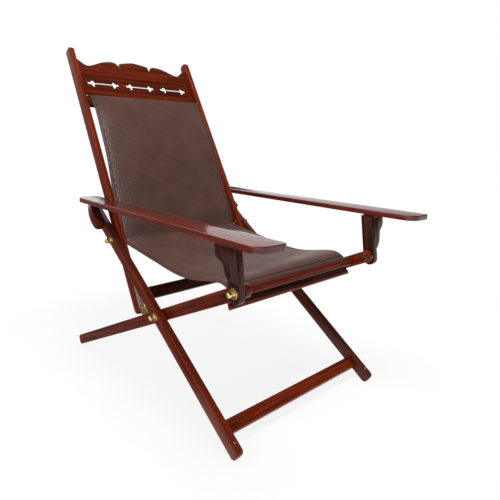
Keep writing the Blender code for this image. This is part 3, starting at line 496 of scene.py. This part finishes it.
def plate(name, outline, low, high, arris, axes, seed, material, slot, body):
    # an outline in (first axis, second axis) carried from low to high along the third, drawn in by
    # 1 - sine and lifted by 1 - cosine at both faces, so that its arrises are rounded
    turn = np.linspace(0, np.pi / 2, plateShape["arrisSteps"])
    inset = arris * (1 - np.sin(turn))
    lift = arris * (1 - np.cos(turn))
    inset, height = np.concatenate([inset, inset[::-1]]), np.concatenate([low + lift, high - lift[::-1]])
    tangent = unit(np.roll(outline, -1, 0) - np.roll(outline, 1, 0))
    inward = np.stack([-tangent[:, 1], tangent[:, 0]], 1)
    if ((outline.mean(0) - outline) * inward).sum() < 0:
        inward = -inward
    flat = outline[None] + inward[None] * inset[:, None, None]
    raised = np.broadcast_to(height[:, None, None], flat.shape[:2] + (1,))
    local = np.concatenate([flat, raised], -1).reshape(-1, 3)
    rim = np.arange(len(outline))
    faces = [gridFaces(len(height), len(rim), True), rim[None, ::-1],
             (rim + (len(height) - 1) * len(rim))[None]]
    centred = local - (local.max(0) + local.min(0)) / 2
    half = centred.max(0)
    facts = np.tile([half[1], half[2], seed], (len(local), 1))
    return makePiece(name, local @ np.array(axes), faces, material, slot, body, plateShape["sharpAngle"],
                     boardPlace=centred, boardFacts=facts,
                     boardEnds=boardEnds(np.tile(inward[:, 0], len(height))))


for number, (side, label) in enumerate(((1, "left"), (-1, "right"))):
    axes = np.array([along["arm"], across, facing["arm"]])
    place = meshArray(frame["nodes"]["arm_" + label].data) @ axes.T
    low, high = place.min(0), place.max(0)
    inner = low[1] if side > 0 else high[1]
    tip = high[0] - armShape["shortOfTip"]
    slants, noses = (armShape["noseSlant"], 0.0), (armShape["noseOuter"], armShape["noseInner"])
    if side > 0:     # the same outline, not its mirror image
        slants, noses = slants[::-1], noses[::-1]
    outline = roundedOutline([(low[0], inner), (low[0], inner + side * armShape["rear"]),
                              (tip - slants[0], inner + side * armShape["front"]), (tip - slants[1], inner)],
                             [armShape["rearRadius"], armShape["rearRadius"], *noses], armShape["steps"])
    seed = armShape["firstSeed"] + armShape["seedStep"] * number
    arm = plate("arm_" + label + "_board", outline, low[2], high[2], armShape["arris"], axes, seed, armWood,
                "rosewood_arm", "arm_" + label)
    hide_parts("arm_" + label)
    axes = np.array([along["rail"], facing["rail"], across])
    centre = np.array([0, *railPlace["foot"]]) @ axes.T + [railPlace["frontRail"], 0, 0]
    reach = np.array([tenonShape["long"], tenonShape["wide"]]) / 2
    outline = roundedOutline(centre[:2] + reach * np.array([(-1, -1), (1, -1), (1, 1), (-1, 1)]),
                             [tenonShape["corner"]] * 4, tenonShape["steps"])
    ends = sorted([side * (layers["railOuter"] - tenonShape["sunk"]),
                   side * (layers["railOuter"] + tenonShape["proud"])])
    plate("front_rail_tenon_" + label, outline, ends[0], ends[1], tenonShape["arris"], axes,
          tenonShape["firstSeed"] + number, endWood, "rosewood", "seat_frame")
print("arms and tenons made")

# Turned brass

boltShape = {"shank": 0.0040, "tipChamfer": 0.0006, "flange": 0.0125, "flangeThick": 0.0030,
             "rim": 0.0008, "rimSteps": 5, "neck": 0.0046, "neckFlare": 0.0010, "flareHigh": 0.0012,
             "neckLength": 0.0040, "ball": 0.0072, "ballSteps": 18, "sides": 56}
nutShape = {"radius": 0.0105, "thick": 0.0055, "bore": 0.0043, "chamfer": 0.0009, "sunk": 0.0025, "sides": 6}
washerShape = {"radius": 0.0100, "chamfer": 0.0001, "sides": 40}
turnedAngle = 30


def turned(name, profile, centre, side, sides, material, slot, body):
    # a profile of (radius r, distance from the chair's middle) turned once round its pivot, as
    # (r cos a, r sin a); where the profile starts or ends on the axis, a fan of triangles closes it,
    # otherwise it is a closed ring
    profile = np.array(profile, float)
    turn = np.linspace(0, 2 * np.pi, sides, endpoint=False)
    ringed = profile[0, 0] > 0
    rings = profile if ringed else profile[1:-1]
    points = np.stack([np.broadcast_to(rings[:, 1:] * side, (len(rings), sides)),
                       rings[:, :1] * np.cos(turn), rings[:, :1] * np.sin(turn)], axis=-1).reshape(-1, 3)
    if ringed:
        faces = [gridFaces(len(rings) + 1, sides, True) % len(points)]
    else:
        count = len(points)
        points = np.concatenate([points, [[profile[0, 1] * side, 0, 0], [profile[-1, 1] * side, 0, 0]]])
        first = np.arange(sides)
        last = first + count - sides
        fans = np.concatenate([np.stack([np.roll(first, -1), first, np.full(sides, count)], 1),
                               np.stack([last, np.roll(last, -1), np.full(sides, count + 1)], 1)])
        faces = [gridFaces(len(rings), sides, True), fans]
    points += np.array([0, centre.y, centre.z])
    return makePiece(name, points, faces, material, slot, body, turnedAngle)


def boltProfile(look):
    # shank, flat flange with a rounded rim, neck, and a ball drawn as sines and cosines
    inner = layers["railInner"] - layers["gap"] - nutShape["thick"] + nutShape["sunk"]
    seat = layers["legOuter"] + layers["gap"]
    top = seat + look["flangeThick"]
    rim, tip = look["rim"], look["tipChamfer"]
    rimTurn = np.linspace(0, np.pi / 2, look["rimSteps"])
    rimPoints = np.stack([look["flange"] - rim + rim * np.cos(rimTurn), top - rim + rim * np.sin(rimTurn)], 1)
    start = math.asin(look["neck"] / look["ball"])
    middle = top + look["neckLength"] + look["ball"] * math.cos(start)
    ballTurn = np.linspace(start, np.pi, look["ballSteps"])
    ballPoints = np.stack([look["ball"] * np.sin(ballTurn), middle - look["ball"] * np.cos(ballTurn)], 1)
    ballPoints[-1, 0] = 0
    return np.concatenate([[[0, inner], [look["shank"] - tip, inner], [look["shank"], inner + tip],
                            [look["shank"], seat], [look["flange"], seat]], rimPoints,
                           [[look["neck"] + look["neckFlare"], top], [look["neck"], top + look["flareHigh"]]],
                           ballPoints])


def ringProfile(radius, low, high, edge):
    # a flat ring round the nut's bore, with four small chamfers
    bore = nutShape["bore"]
    return [(bore + edge, low), (bore, low + edge), (bore, high - edge), (bore + edge, high),
            (radius - edge, high), (radius, high - edge), (radius, low + edge), (radius - edge, low)]


nutOuter = layers["railInner"] - layers["gap"]
# what is turned: profile, number of sides, material
turnings = {
    "bolt_": (boltProfile(boltShape), boltShape["sides"], turnedMetal),
    "nut_": (ringProfile(nutShape["radius"], nutOuter - nutShape["thick"], nutOuter, nutShape["chamfer"]),
             nutShape["sides"], nutMetal),
    "washer_": (ringProfile(washerShape["radius"], layers["railOuter"] + layers["gap"],
                            layers["legInner"] - layers["gap"], washerShape["chamfer"]),
                washerShape["sides"], turnedMetal),
}
fastened = 0
for fixing, body in (("back", "leg_frame"), ("scissor", "leg_frame"), ("post", "seat_frame")):
    low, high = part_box("bolt_" + fixing + "_left")
    for side, label in ((1, "left"), (-1, "right")):
        for start, (profile, sides, metal) in turnings.items():
            node = start + fixing + "_" + label
            piece = turned(node + "_turned", profile, (low + high) / 2, side, sides, metal, "brass", body)
            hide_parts(node)
            fastened += 1
fittings = {"leg_hinge": hingeMetal, "post_hinge": hingeMetal, "foot_plate": plateMetal,
            "foot_stop": filedMetal, "foot_screw": turnedMetal}
for node, item in frame["nodes"].items():
    for start, metal in fittings.items():
        if node.startswith(start):
            item.data.materials.clear()
            item.data.materials.append(metal)
print("brass made:", fastened)

# Leather sling

sling = {
    "halfWidth": 0.2208, "thickness": 0.0030, "sharpAngle": 50,
    # the grid: rows along the sheet, closer near the hem, and columns across it, closer near the edges
    "rows": 300, "hemRows": 80, "hemLong": 0.042, "fineSteps": 4000, "wrapSteps": 6,
    "columns": 72, "edgeColumns": 22, "edgeWide": 0.018, "edgeSteps": 5,
    # lines pressed beside the edges and the hem
    "creaseFromEdge": 0.0095, "creaseHalf": 0.0015, "creaseFromHem": 0.0290, "hemHalf": 0.0017,
    "creaseDeep": 0.0010, "creaseStop": 0.006, "creaseTone": 0.9,
    # paler beside the edges, on the back only, and mostly on the right: a narrow band of rubbed wear and a
    # broad painted sheen
    "rubPlace": 0.012, "rubWide": 0.013, "sheenBroad": 0.060, "rubAll": 0.03, "rubBand": 0.60,
    "sheenBroadly": 0.22, "rubFromShare": 0.06, "rubInShare": 0.10, "rubToShare": 0.60, "rubOutShare": 0.12,
    "rubSideFade": 0.1, "rubFarSide": 0.12,
    # soft folds: start and end as (metres across, share of the sheet's length), depth in metres
    "folds": [((-0.21, 0.395), (0.20, 0.385), 0.0007), ((-0.21, 0.52), (-0.06, 0.545), 0.0010),
              ((-0.20, 0.575), (-0.02, 0.59), 0.0009), ((-0.19, 0.63), (0.05, 0.635), 0.0008),
              ((-0.12, 0.70), (0.15, 0.69), 0.0006), ((-0.16, 0.20), (-0.15, 0.42), 0.0005)],
    "foldHalf": 0.0055,
    # the upper rail in the stile's directions: along it, and in front of it
    "railLow": 0.457, "railWide": 0.033, "railThick": 0.022, "railFront": 0.018, "railRound": 0.0025,
    "tail": 0.028, "gap": 0.0004, "billow": 0.026, "belly": 0.007,
    "frontDeep": 0.042, "frontHigh": 0.021, "hemInset": 0.0015,
    # the back's line: (share of the way up to the rail, share of the billow)
    "backShares": [(0.98, 0.95), (0.875, 1.12), (0.765, 1.15), (0.656, 1.08), (0.547, 0.90), (0.438, 0.55),
                   (0.328, 0.22), (0.219, -0.03), (0.109, -0.20)],
    # the seat's line: (share of the way from the back pivot to the hem, share of the drop between them)
    "seatShares": [(-0.029, 0.844), (-0.006, 0.770), (0.030, 0.670), (0.073, 0.560), (0.191, 0.330),
                   (0.295, 0.130), (0.426, -0.100), (0.549, -0.250), (0.640, -0.250), (0.730, -0.130),
                   (0.837, 0.080), (0.880, 0.130), (0.912, 0.090), (0.940, -0.040), (0.958, -0.170)],
    "bellyShares": [0.0, 0.4, 0.8, 1.0, 0.95, 0.85, 0.95, 1.0, 0.9, 0.5, 0.0, 0.0],
    # tables along the sheet by its share of the length: the width as a share, drawn in below the upper
    # rail, and how far the right edge hangs below the middle line and the left one stands above it
    "widthShares": [(0.0, 0.999), (0.044, 0.999), (0.060, 0.968), (0.10, 0.966), (0.17, 0.982),
                    (0.42, 0.998), (1.0, 1.0)],
    "slackShares": [(0.0, 0.0), (0.50, 0.0), (0.58, -0.0018), (0.70, -0.0018), (0.80, 0.0015), (0.87, 0.0045),
                    (0.94, 0.0050), (0.985, 0.0), (1.0, 0.0)],
    "tightShares": [(0.0, 0.0), (0.35, 0.0), (0.52, 0.0050), (0.68, 0.0060), (0.80, 0.0035), (0.90, 0.0030),
                    (0.985, 0.0), (1.0, 0.0)],
    # where the sheet starts and stops to turn from one body to the next: below the rail, behind the
    # hem, and rows either side of the back pivot
    "blendTop": 0.10, "blendFront": 0.07, "blendRows": 6,
}


def slingLine(look):
    # the sheet's middle line in the side view, as (depth, height): round the upper rail by two
    # quarter turns, down the back and over the seat through tabled places, onto the front rail
    off = look["gap"] + look["thickness"] / 2
    pivot = backPivot[1:]
    rise, front = np.array(along["stile"])[1:], np.array(facing["stile"])[1:]
    top = look["railLow"] + look["railWide"] - look["railRound"]
    back = look["railFront"] - look["railThick"]
    bend = look["railRound"] + off
    turn = np.linspace(-np.pi / 2, 0, look["wrapSteps"])
    rear, fore = (np.stack([top + bend * np.cos(angle), middle + bend * np.sin(angle)], 1)
                  for middle, angle in ((back + look["railRound"], turn),
                                        (look["railFront"] - look["railRound"], turn + np.pi / 2)))
    tail = np.array([[look["railLow"] + look["railWide"] - look["tail"], back - off]])
    shares = np.array(look["backShares"]) * [look["railLow"], look["billow"]]
    wrapped = np.concatenate([tail, rear, fore])
    upper = np.concatenate([wrapped, shares])
    upper = pivot + upper[:, :1] * rise + upper[:, 1:] * front
    railRise, railFace = np.array(along["rail"])[1:], np.array(facing["rail"])[1:]
    hem = (np.array(railPlace["foot"]) + railRise * (railPlace["frontRail"] + look["frontDeep"] / 2)
           + railFace * (look["frontHigh"] / 2 + off))
    run, drop = hem[0] - pivot[0], pivot[1] - hem[1]
    table = np.array(look["seatShares"])
    seat = np.stack([pivot[0] + table[:, 0] * run, hem[1] + table[:, 1] * drop], 1)
    ends = np.array([hem - railRise * look["frontDeep"] / 2, hem - railRise * look["hemInset"]])
    return np.concatenate([upper, seat, ends]), len(wrapped)


def chords(points):
    # the distance from each point to the next
    return np.linalg.norm(np.diff(points, axis=0), axis=1)


def smoothCurve(places, look):
    # a Catmull-Rom curve through the places, spaced by the square root of the chords, read at
    # evenly spaced lengths, closer together near the hem
    knots = np.concatenate([[0], np.cumsum(chords(places) ** 0.5)])
    slope = np.gradient(places, knots, axis=0)
    fine = np.linspace(0, knots[-1], look["fineSteps"])
    cell = np.clip(np.searchsorted(knots, fine, side="right") - 1, 0, len(knots) - 2)
    width = (knots[cell + 1] - knots[cell])[:, None]
    part = ((fine - knots[cell])[:, None]) / width
    first, second = places[cell], places[cell + 1]
    lower, upper = slope[cell] * width, slope[cell + 1] * width
    curve = ((2 * part ** 3 - 3 * part ** 2 + 1) * first + (part ** 3 - 2 * part ** 2 + part) * lower
             + (3 * part ** 2 - 2 * part ** 3) * second + (part ** 3 - part ** 2) * upper)
    length = np.concatenate([[0], np.cumsum(chords(curve))])
    hemStart = length[-1] - look["hemLong"]
    even = np.concatenate([np.linspace(0, hemStart, look["rows"]),
                           np.linspace(hemStart, length[-1], look["hemRows"] + 1)[1:]])
    return np.stack([np.interp(even, length, curve[:, axis]) for axis in (0, 1)], 1), even


line, wrapCount = slingLine(sling)
curve, lengths = smoothCurve(line, sling)
wrapLength = float(chords(line[:wrapCount]).sum())
tangent = unit(np.gradient(curve, lengths, axis=0))
normal = np.stack([tangent[:, 1], -tangent[:, 0]], 1)
if normal[len(normal) // 2, 1] < 0:
    normal = -normal
pivotRow = int(np.argmin(np.linalg.norm(curve - backPivot[1:], axis=1)))


def bell(distance, half):
    # 1 at no distance, falling as exp(-(distance / half) squared)
    return np.exp(-(distance / half) ** 2)


def slingRing(look):
    # places across the sheet and heights over its middle line: the top face, a half turn round one
    # edge, the underside, a half turn round the other
    half = look["thickness"] / 2
    reach, border = look["halfWidth"] - half, look["halfWidth"] - look["edgeWide"]
    edge = np.linspace(border, reach, look["edgeColumns"] + 1)[1:]
    top = np.concatenate([-edge[::-1], np.linspace(-border, border, look["columns"]), edge])
    turn = np.linspace(np.pi / 2, -np.pi / 2, look["edgeSteps"] + 2)[1:-1]
    side = reach + half * np.cos(turn)
    ringAcross = np.concatenate([top, side, top[::-1], -side])
    ringDepth = np.concatenate([np.full(len(top), half), half * np.sin(turn),
                                np.full(len(top), -half), -half * np.sin(turn)])
    return ringAcross, ringDepth, len(top)


def softFolds(look, ringAcross, down):
    # for each fold a bell across its line, times the root of a half sine along it
    total = np.zeros((len(down), len(ringAcross)))
    for start, end, deep in look["folds"]:
        first, last = (np.array([spot[0], spot[1] * lengths[-1]]) for spot in (start, end))
        run = np.linalg.norm(last - first)
        way, side = (last - first) / run, np.array([first[1] - last[1], last[0] - first[0]]) / run
        x, y = ringAcross[None, :] - first[0], down - first[1]
        ahead = np.clip((x * way[0] + y * way[1]) / run, 0, 1)
        total += deep * bell(x * side[0] + y * side[1], look["foldHalf"]) * np.sin(np.pi * ahead) ** 0.5
    return total


def sheetCaps(count, ring, columns, look):
    # the faces of the two cut ends: a strip between top and underside, and a fan at each edge
    top = np.arange(columns)
    under = np.arange(columns + look["edgeSteps"], 2 * columns + look["edgeSteps"])[::-1]
    caps = []
    for start, flip in ((0, False), ((count - 1) * ring, True)):
        strip = np.stack([top[:-1], top[1:], under[1:], under[:-1]], 1) + start
        right = np.concatenate([[top[-1]], np.arange(top[-1] + 1, under[-1]), [under[-1]]]) + start
        left = np.concatenate([[under[0]], np.arange(under[0] + 1, ring), [top[0]]]) + start
        blocks = [strip, right[None], left[None]]
        caps += blocks if flip else [block[:, ::-1] for block in blocks]
    return caps


def slingPiece(name, rowStart, rowEnd, look):
    # a closed sheet: every row of the curve carries the ring, moved along the curve's normal by its
    # height less the sag (1 - x squared across), the pressed lines and the folds
    rows = slice(rowStart, rowEnd)
    ringAcross, ringDepth, columns = slingRing(look)
    down = lengths[rows, None]
    share = np.clip(lengths / lengths[-1], 0, 1)[rows]
    narrowing, slack, tight = (np.interp(share, *np.array(look[key]).T)[:, None]
                               for key in ("widthShares", "slackShares", "tightShares"))
    hanging = np.clip((lengths[rows] - wrapLength) / (lengths[-1] - wrapLength), 0, 1)
    bellyCount = len(look["bellyShares"])
    belly = np.interp(hanging * (bellyCount - 1), np.arange(bellyCount), look["bellyShares"]) * look["belly"]
    part = ringAcross[None, :] / look["halfWidth"]
    sag = belly[:, None] * (1 - part ** 2)
    sag = sag + slack * np.clip(-part, 0, 1) ** 2 - tight * np.clip(part, 0, 1) ** 2
    fromEdge, fromHem = look["halfWidth"] - np.abs(ringAcross[None, :]), lengths[-1] - down
    beside = bell(fromEdge - look["creaseFromEdge"], look["creaseHalf"]) * (fromHem > look["creaseStop"])
    above = bell(fromHem - look["creaseFromHem"], look["hemHalf"]) * (fromEdge > look["creaseStop"])
    crease = np.maximum(beside, above) * (ringDepth[None, :] == look["thickness"] / 2)
    depth = ringDepth[None, :] - sag - crease * look["creaseDeep"] + softFolds(look, ringAcross, down)
    place = curve[rows, None, :] + normal[rows, None, :] * depth[..., None]
    points = np.concatenate([(ringAcross[None, :] * narrowing)[..., None], place], -1)
    count, ring = depth.shape
    faces = [gridFaces(count, ring, True)] + sheetCaps(count, ring, columns, look)
    hidePlace = np.stack(np.broadcast_arrays(ringAcross[None, :], down, depth), -1).reshape(-1, 3)
    # paler beside the edges: a narrow band of rubbed wear and a broad painted sheen, on the back only and
    # mostly on one side
    fromRub = fromEdge - look["rubPlace"]
    band, broadSheen = bell(fromRub, look["rubWide"]), bell(fromRub, look["sheenBroad"])
    rubbedAndSheen = look["rubBand"] * band + look["sheenBroadly"] * broadSheen
    backOnly = (np.clip((share - look["rubFromShare"]) / look["rubInShare"], 0, 1)
                * np.clip((look["rubToShare"] - share) / look["rubOutShare"], 0, 1))[:, None]
    oneSide = np.clip(0.5 - ringAcross[None, :] / look["rubSideFade"], look["rubFarSide"], 1)
    wearAndHighlight = look["rubAll"] + rubbedAndSheen * backOnly * oneSide
    return makePiece(name, points, faces, hide, "leather", None, look["sharpAngle"], hidePlace=hidePlace,
                     hideWear=wearAndHighlight.reshape(-1), hideSeam=look["creaseTone"] * crease.reshape(-1))


slingBack = slingPiece("sling_back_hide", 0, pivotRow + 1, sling)
slingSeat = slingPiece("sling_seat_hide", pivotRow, len(lengths), sling)
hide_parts("leather_sling")
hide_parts("leather_sling")
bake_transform(slingBack)
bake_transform(slingSeat)
print("sling made:", round(float(lengths[-1]), 3), "m long")

# Floor, light and camera

studio = {
    "floorSize": 14.0, "floorColour": "#F4F4F2",
    "glowNear": 0.84, "glowFar": 1.0, "nearRadius": 0.75, "farRadius": 1.5, "glowStrength": 1.03,
    # a dark board stood beside the chair, which only reflections see
    "boardSide": (-0.65, 0.76, 0.0), "boardFar": 0.15, "boardNear": 0.55, "boardLevel": 0.16,
    "roomLight": 0.34,
    # dark parts of the room that only reflections see: direction, inner and outer cosine, level
    "shades": [((0.52, -0.55, 0.65), 0.62, 0.36, 0.035), ((0.555, 0.823, 0.125), 0.988, 0.983, 0.035),
               ((-0.58, 0.81, -0.02), 0.92, 0.76, 0.22)],
    # name, place, aim, size in metres, watts
    "lamps": [("top_softbox", (-0.25, -0.70, 2.95), (0, 0, 0.5), 1.3, 60.0),
              ("left_fill_softbox", (-2.7, -0.3, 0.7), (0, 0, 0.35), 1.6, 7.0),
              ("rear_softbox", (-0.4, 1.6, 2.6), (0, 0, 0.5), 1.4, 12.0)],
}
white = (1, 1, 1, 1)


def cosineRange(tree, way, toward, cosines, levels=(0.0, 1.0)):
    # the cosine between a way and a direction, drawn softly from the one pair to the other
    cosine = addNode(tree, "VectorMath", {0: way}, operation="DOT_PRODUCT",
                     values={1: Vector(toward).normalized()})
    return addNode(tree, "MapRange", {0: cosine.outputs["Value"]}, interpolation_type="SMOOTHSTEP",
                   values=mapped(cosines, levels))


def paperSweep(look):
    # white paper that takes the chair's shadow: for a camera, a reflection or glass it glows, more so
    # with the distance, and reflections also see the dark board, by the cosine of their direction
    made, tree = newMaterial("white_paper_sweep")
    path = addNode(tree, "LightPath")
    glossy = path.outputs["Is Glossy Ray"]
    seen = addNode(tree, "Math", {0: path.outputs["Is Camera Ray"], 1: glossy}, operation="MAXIMUM")
    seen = addNode(tree, "Math", {0: seen, 1: path.outputs["Is Transmission Ray"]}, operation="MAXIMUM")
    place = addNode(tree, "TexCoord").outputs["Object"]
    distance = addNode(tree, "VectorMath", {0: place}, operation="LENGTH")
    blankness = addNode(tree, "MapRange", {0: distance.outputs["Value"]}, interpolation_type="SMOOTHSTEP",
                        values=mapped((look["nearRadius"], look["farRadius"]),
                                      (look["glowNear"], look["glowFar"])))
    share = addNode(tree, "Math", {0: seen, 1: blankness}, operation="MULTIPLY")
    heading = addNode(tree, "VectorMath", {0: place}, operation="NORMALIZE")
    boarded = cosineRange(tree, heading, look["boardSide"], (look["boardFar"], look["boardNear"]))
    masked = addNode(tree, "Math", {0: boarded, 1: glossy}, operation="MULTIPLY")
    share = addNode(tree, "Math", {0: share, 1: masked}, operation="MAXIMUM")
    level = addNode(tree, "MapRange", {0: masked},
                    values=mapped((0, 1), (look["glowStrength"], look["boardLevel"])))
    paper = addNode(tree, "BsdfDiffuse", values={"Color": linear(look["floorColour"])})
    glow = addNode(tree, "Emission", {"Strength": level}, values={"Color": white})
    addNode(tree, "OutputMaterial", {"Surface": addNode(tree, "MixShader", {0: share, 1: paper, 2: glow})})
    return made


def whiteRoom(look):
    # white where the camera or glass looks, dim where light bounces, and in reflections white times
    # each dark part, by the cosine of its direction
    made = bpy.data.worlds.new("white_room")
    made.use_nodes = True
    tree = made.node_tree
    tree.nodes.clear()
    path = addNode(tree, "LightPath")
    way = addNode(tree, "TexCoord").outputs["Generated"]
    mirrored = None
    for toward, inner, outer, dim in look["shades"]:
        shade = cosineRange(tree, way, toward, (outer, inner), (1, dim))
        mirrored = shade if mirrored is None else addNode(tree, "Math", {0: mirrored, 1: shade},
                                                          operation="MULTIPLY")
    level = addNode(tree, "Mix", {0: path.outputs["Is Glossy Ray"], 3: mirrored}, data_type="FLOAT",
                    values={2: look["roomLight"]})
    direct = addNode(tree, "Math", {0: path.outputs["Is Camera Ray"], 1: path.outputs["Is Transmission Ray"]},
                     operation="MAXIMUM")
    strength = addNode(tree, "Mix", {0: direct, 2: level}, data_type="FLOAT", values={3: 1.0})
    sky = addNode(tree, "Background", {"Strength": strength}, values={"Color": white})
    addNode(tree, "OutputWorld", {"Surface": sky})
    return made


reach = studio["floorSize"] / 2
floorMesh = bpy.data.meshes.new("floor")
floorMesh.from_pydata([(-reach, -reach, 0), (reach, -reach, 0), (reach, reach, 0), (-reach, reach, 0)],
                      [], [(0, 1, 2, 3)])
floorMesh.materials.append(paperSweep(studio))
floor = addObject("floor", floorMesh)
bpy.context.scene.world = whiteRoom(studio)

for name, place, aim, size, watts in studio["lamps"]:
    lamp = bpy.data.lights.new(name, "AREA")
    lamp.shape, lamp.size, lamp.energy = "DISK", size, watts
    holder = addObject(name, lamp)
    holder.visible_glossy = False       # reflections show the room alone
    holder.location = place
    holder.rotation_euler = (Vector(aim) - Vector(place)).to_track_quat("-Z", "Y").to_euler()

photoCamera = {"place": (-0.8793, -1.0792, 0.6667), "yaw": 42.617, "pitch": 5.208, "roll": -0.481,
               "lens": 33.391, "sensor": 36.0, "shiftX": 0.00838, "shiftY": -0.11159}


def cameraTurn(look):
    # columns are the view's right, up and backward directions, turned by the roll about the line of sight
    yaw, pitch, roll = (math.radians(look[key]) for key in ("yaw", "pitch", "roll"))
    ahead = Vector((math.sin(yaw) * math.cos(pitch), math.cos(yaw) * math.cos(pitch), -math.sin(pitch)))
    right = Vector((math.cos(yaw), -math.sin(yaw), 0))
    up = right.cross(ahead)
    rightRolled = right * math.cos(roll) + up * math.sin(roll)
    upRolled = up * math.cos(roll) - right * math.sin(roll)
    return Matrix((rightRolled, upRolled, -ahead)).transposed()


cameraData = bpy.data.cameras.new("photo_camera")
cameraData.lens, cameraData.sensor_width = photoCamera["lens"], photoCamera["sensor"]
cameraData.shift_x, cameraData.shift_y = photoCamera["shiftX"], photoCamera["shiftY"]
camera = addObject("photo_camera", cameraData)
camera.matrix_world = Matrix.Translation(photoCamera["place"]) @ cameraTurn(photoCamera).to_4x4()
bpy.context.scene.camera = camera
bpy.context.scene.view_settings.view_transform = "Standard"
print("studio made")
